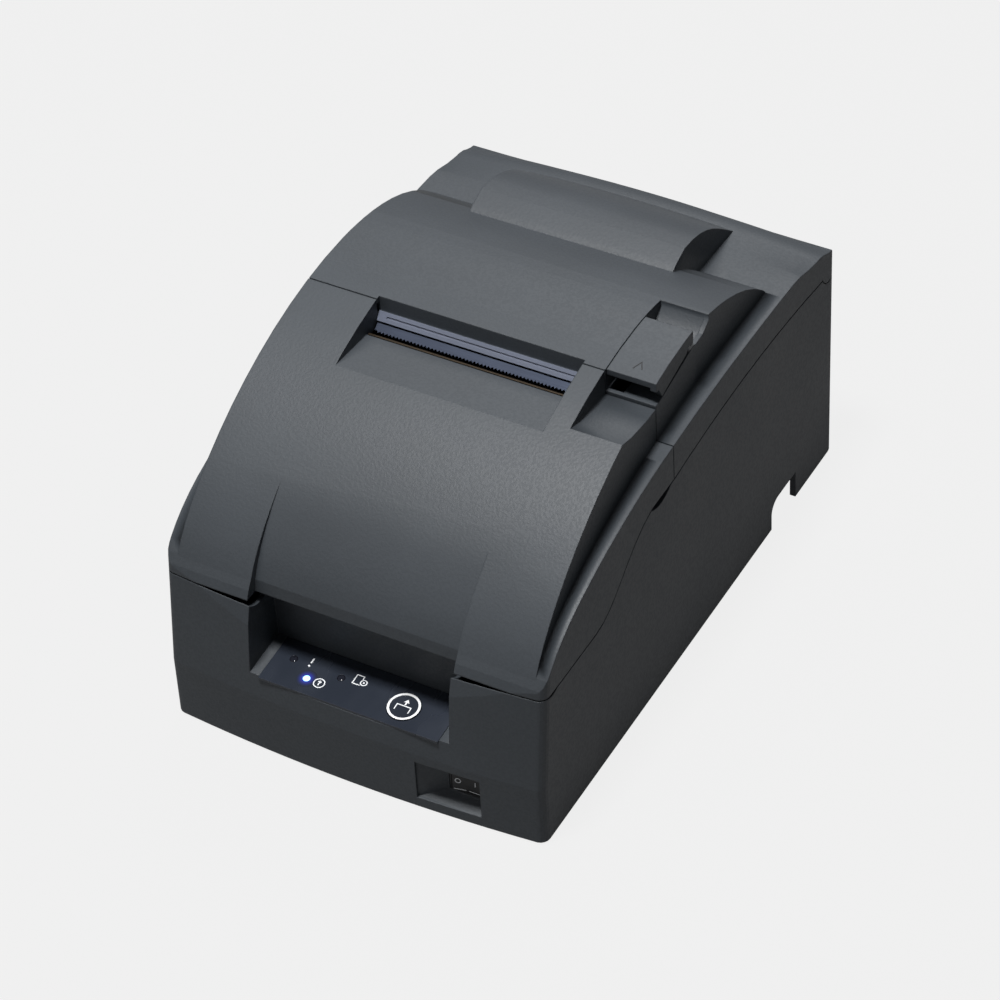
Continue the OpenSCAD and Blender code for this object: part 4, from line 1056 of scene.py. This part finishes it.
@dataclass
class PaperPath:
    """Slot fittings, platen, feed train and roll bin."""

    assembly: Assembly

    def build(self) -> None:
        """Dresses the paper path."""
        a = self.assembly
        for node, finish, slot in (("guide_strip", "strip_grey", "strip_grey"),
                                   ("tear_bar", "tear_plate", "blade_steel"),
                                   ("fixed_blade", "blade_steel", "blade_steel"),
                                   ("platen_frame", "sheet_steel", "sheet_steel"),
                                   ("platen", "rubber", "rubber")):
            a.twin(node, f"{node}_piece", finish, "rear_cover_body", slot)
        a.twin("feed_roller", "feed_roller_piece", "rubber", "feed_roller_body", "rubber",
               angle=30.0)
        a.twin("feed_roller_gear", "feed_roller_gear_piece", "gear_white", "feed_roller_body",
               "gear_white", rounding=0.08)
        a.twin("pinch_rollers", "pinch_roller_set", "rubber", "pinch_body", "rubber", angle=30.0)
        a.twin("idler_gear", "idler_gear_piece", "gear_white", "idler_gear_body", "gear_white",
               rounding=0.08)
        a.twin("feed_pinion", "feed_pinion_piece", "brass", "pinion_body", "brass",
               rounding=0.06)
        a.twin("paper_guide", "paper_guide_piece", "sheet_steel", "case_body", "sheet_steel",
               angle=30.0, rounding=0.2)
        a.twin("roll_bin", "roll_bin_piece", "dark_plastic", "case_body", "dark_plastic",
               angle=30.0)
        a.twin("near_end_sensor", "near_end_sensor_piece", "dark_plastic", "case_body",
               "dark_plastic", rounding=0.3)


@dataclass
class PrintUnit:
    """Carriage, head, ribbon drive and their frame."""

    assembly: Assembly

    def build(self) -> None:
        """Builds the print unit's pieces."""
        a = self.assembly
        a.twin("carriage", "carriage_piece", "dark_plastic", "carriage_body", "dark_plastic",
               rounding=0.35)
        a.twin("print_head", "print_head_piece", "head_alloy", "carriage_body", "head_alloy",
               rounding=0.3)
        a.twin("carriage_belt", "toothed_belt", "rubber", "case_body", "rubber", angle=30.0)
        for node in ("motor_pulley", "idler_pulley"):
            a.twin(node, f"{node}_piece", "steel", f"{node}_body", "steel", rounding=0.08)
        a.twin("ribbon_knob", "ribbon_knob_piece", "gear_white", "ribbon_drive_body",
               "gear_white", angle=35.0, rounding=0.3)
        a.twin("ribbon_spindle", "ribbon_spindle_piece", "steel", "ribbon_drive_body", "steel",
               angle=35.0)
        a.twin("ribbon_cassette", "ribbon_cassette_piece", "dark_plastic", "case_body",
               "dark_plastic", rounding=0.5)
        a.twin("main_frame", "main_frame_piece", "sheet_steel", "case_body", "sheet_steel",
               angle=30.0)
        a.twin("cutter_frame", "cutter_frame_piece", "sheet_steel", "case_body", "sheet_steel")
        a.twin("moving_blade", "moving_blade_piece", "blade_steel", "blade_body", "blade_steel")
        a.twin("cutter_pinion", "cutter_pinion_piece", "gear_white", "cutter_pinion_body",
               "gear_white", angle=30.0)


@dataclass
class Electronics:
    """Main board, its parts and the connector panel."""

    assembly: Assembly
    board_top: float = 10.6
    drivers_at: tuple[float, ...] = (-32.0, -16.0, 0.0, 16.0, 32.0)

    def legs(self, name: str, centre: Point, half: tuple[float, float], count: int) -> Any:
        """Two rows of chip legs.

        Args:
            name: name of the piece.
            centre: middle of the chip on the board, in millimetres.
            half: half the chip's width and depth, in millimetres.
            count: legs in each row.

        Returns:
            The joined legs.
        """
        step = 2.0 * (half[0] - 0.6) / (count - 1)
        first = slab(name, (centre[0] - half[0] + 0.35, centre[1] - half[1] - 0.9, centre[2]),
                     (centre[0] - half[0] + 0.85, centre[1] + half[1] + 0.9, centre[2] + 0.8))
        soften(first, 0.12, 1)
        return joined(name, [first] + [copied(first, (i * step, 0.0, 0.0), f"{name}_{i}")
                                       for i in range(1, count)])

    def build(self) -> None:
        """Builds the board's legs and the sockets."""
        a = self.assembly
        a.twin("main_board", "main_board_piece", "board_green", "case_body", "board_green",
               rounding=0.1)
        rows = [self.legs("large_chip_legs", (-6.0, 2.0, self.board_top), (14.0, 12.0), 14)]
        rows += [self.legs(f"driver_legs_{i}", (x, -35.0, self.board_top), (5.0, 5.0), 6)
                 for i, x in enumerate(self.drivers_at)]
        a.add(joined("chip_legs", rows), "case_body", "steel", "steel")
        a.twin("connector_plate", "connector_plate_piece", "sheet_steel", "case_body",
               "sheet_steel")
        a.twin("power_inlet", "power_inlet_piece", "dark_plastic", "case_body", "dark_plastic",
               angle=30.0, rounding=0.2)
        a.twin("drawer_jack", "drawer_jack_piece", "dark_plastic", "case_body", "dark_plastic",
               rounding=0.2)
        a.twin("interface_connector", "interface_connector_piece", "steel", "case_body",
               "steel", rounding=0.15)


@dataclass
class PlainParts:
    """Inner parts whose CAD shape is kept, with their finishes."""

    assembly: Assembly
    finishes: dict[str, str] = field(default_factory=lambda: {
        "latch_shaft": "steel", "latch_hooks": "dark_plastic", "latch_studs": "steel",
        "rear_guide_shaft": "steel", "front_guide_shaft": "steel",
        "carriage_motor": "sheet_steel", "idler_post": "steel", "ribbon": "ribbon_purple",
        "spindle_bush": "brass", "feed_motor": "sheet_steel", "idler_stud": "steel",
        "cutter_edge": "bronze_metal", "cutter_motor": "sheet_steel",
        "frame_screws": "steel"})

    def build(self) -> None:
        """Dresses each part."""
        for node, finish in self.finishes.items():
            self.assembly.dress(node, finish)


# ------------------------------------------------------------------ studio
@dataclass
class Studio:
    """Floor, lights, world and camera."""

    eye: Point = (569.1, -957.3, 1033.6)
    azimuth: float = 30.9
    elevation: float = 41.7
    roll: float = 3.4
    lens: float = 138.4
    floor_colour: Colour = (0.16, 0.16, 0.16)
    background: Colour = (0.975, 0.975, 0.975)
    background_share: float = 0.86
    glossy_share: float = 0.25
    sky_colour: Colour = (0.93, 0.95, 1.0)
    sky_strength: float = 0.08
    lamps: tuple[tuple[str, Point, Point, float, float], ...] = (
        ("key", (-0.06, -0.3, 1.6), (0.0, 0.0, 0.08), 0.26, 30.0),
        ("back", (-0.3, 1.2, 1.3), (0.0, 0.0, 0.08), 0.8, 10.0),
        ("fill", (-0.8, -1.5, 0.8), (0.0, 0.0, 0.05), 1.0, 3.0))

    def floor(self) -> None:
        """Lays a wide pale floor."""
        clear_choice()
        bpy.ops.mesh.primitive_plane_add(size=12.0, location=(0.0, 0.0, 0.0))
        ground = bpy.context.object
        ground.name = "floor"
        b = Bench("floor")
        rays = [b.out("ShaderNodeLightPath", {}, {}, f"Is {kind} Ray")
                for kind in ("Camera", "Glossy", "Transmission")]
        lit = b.out("ShaderNodeBsdfDiffuse", {}, {"Color": self.floor_colour}, "BSDF")
        plain = b.out("ShaderNodeEmission", {}, {"Color": self.background, "Strength": 1.0},
                      "Emission")
        mask = (rays[0] + rays[1] * self.glossy_share + rays[2]) * self.background_share
        shade = b.out("ShaderNodeMixShader", {}, {0: mask, 1: lit, 2: plain}, "Shader")
        b.node("ShaderNodeOutputMaterial", {}, {"Surface": shade})
        ground.data.materials.append(b.material)

    def lamp(self, name: str, place: Point, aim: Point, size: float, power: float) -> None:
        """Adds a soft square lamp.

        Args:
            name: name of the lamp.
            place: its place in metres.
            aim: the point it faces.
            size: side of the square in metres.
            power: power in watts.
        """
        data = bpy.data.lights.new(name, "AREA")
        data.size = size
        data.energy = power
        lamp = bpy.data.objects.new(name, data)
        lamp.location = place
        lamp.rotation_euler = (Vector(aim) - Vector(place)).to_track_quat("-Z", "Y").to_euler()
        bpy.context.scene.collection.objects.link(lamp)

    def world(self) -> None:
        """Gives a soft even surround."""
        world = bpy.data.worlds.new("surround")
        bpy.context.scene.world = world
        world.use_nodes = True
        world.node_tree.nodes["Background"].inputs[0].default_value = (*self.sky_colour, 1.0)
        world.node_tree.nodes["Background"].inputs[1].default_value = self.sky_strength

    def camera(self) -> None:
        """Sets the camera at the photograph's viewing angle."""
        data = bpy.data.cameras.new("camera")
        data.lens = self.lens
        data.sensor_width = 36.0
        data.clip_start = 0.05
        data.clip_end = 50.0
        camera = bpy.data.objects.new("camera", data)
        turn = (Matrix.Rotation(math.radians(self.azimuth), 4, "Z")
                @ Matrix.Rotation(math.radians(90.0 - self.elevation), 4, "X")
                @ Matrix.Rotation(math.radians(-self.roll), 4, "Z"))
        camera.matrix_world = Matrix.Translation(Vector(self.eye) * MM) @ turn
        bpy.context.scene.collection.objects.link(camera)
        bpy.context.scene.camera = camera

    def build(self) -> None:
        """Builds the whole studio."""
        self.floor()
        self.world()
        for plan in self.lamps:
            self.lamp(*plan)
        self.camera()
        bpy.context.scene.view_settings.view_transform = "Standard"


def main() -> None:
    """Builds the printer's looks in order."""
    logging.basicConfig(level=logging.INFO, format="%(message)s")
    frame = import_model()
    assembly = Assembly(frame, Paintbox())
    CaseShells(assembly).build()
    ControlPanel(assembly).build()
    PowerSwitch(assembly).build()
    PaperPath(assembly).build()
    PrintUnit(assembly).build()
    Electronics(assembly).build()
    PlainParts(assembly).build()
    Studio().build()


if __name__ == "__main__":
    main()
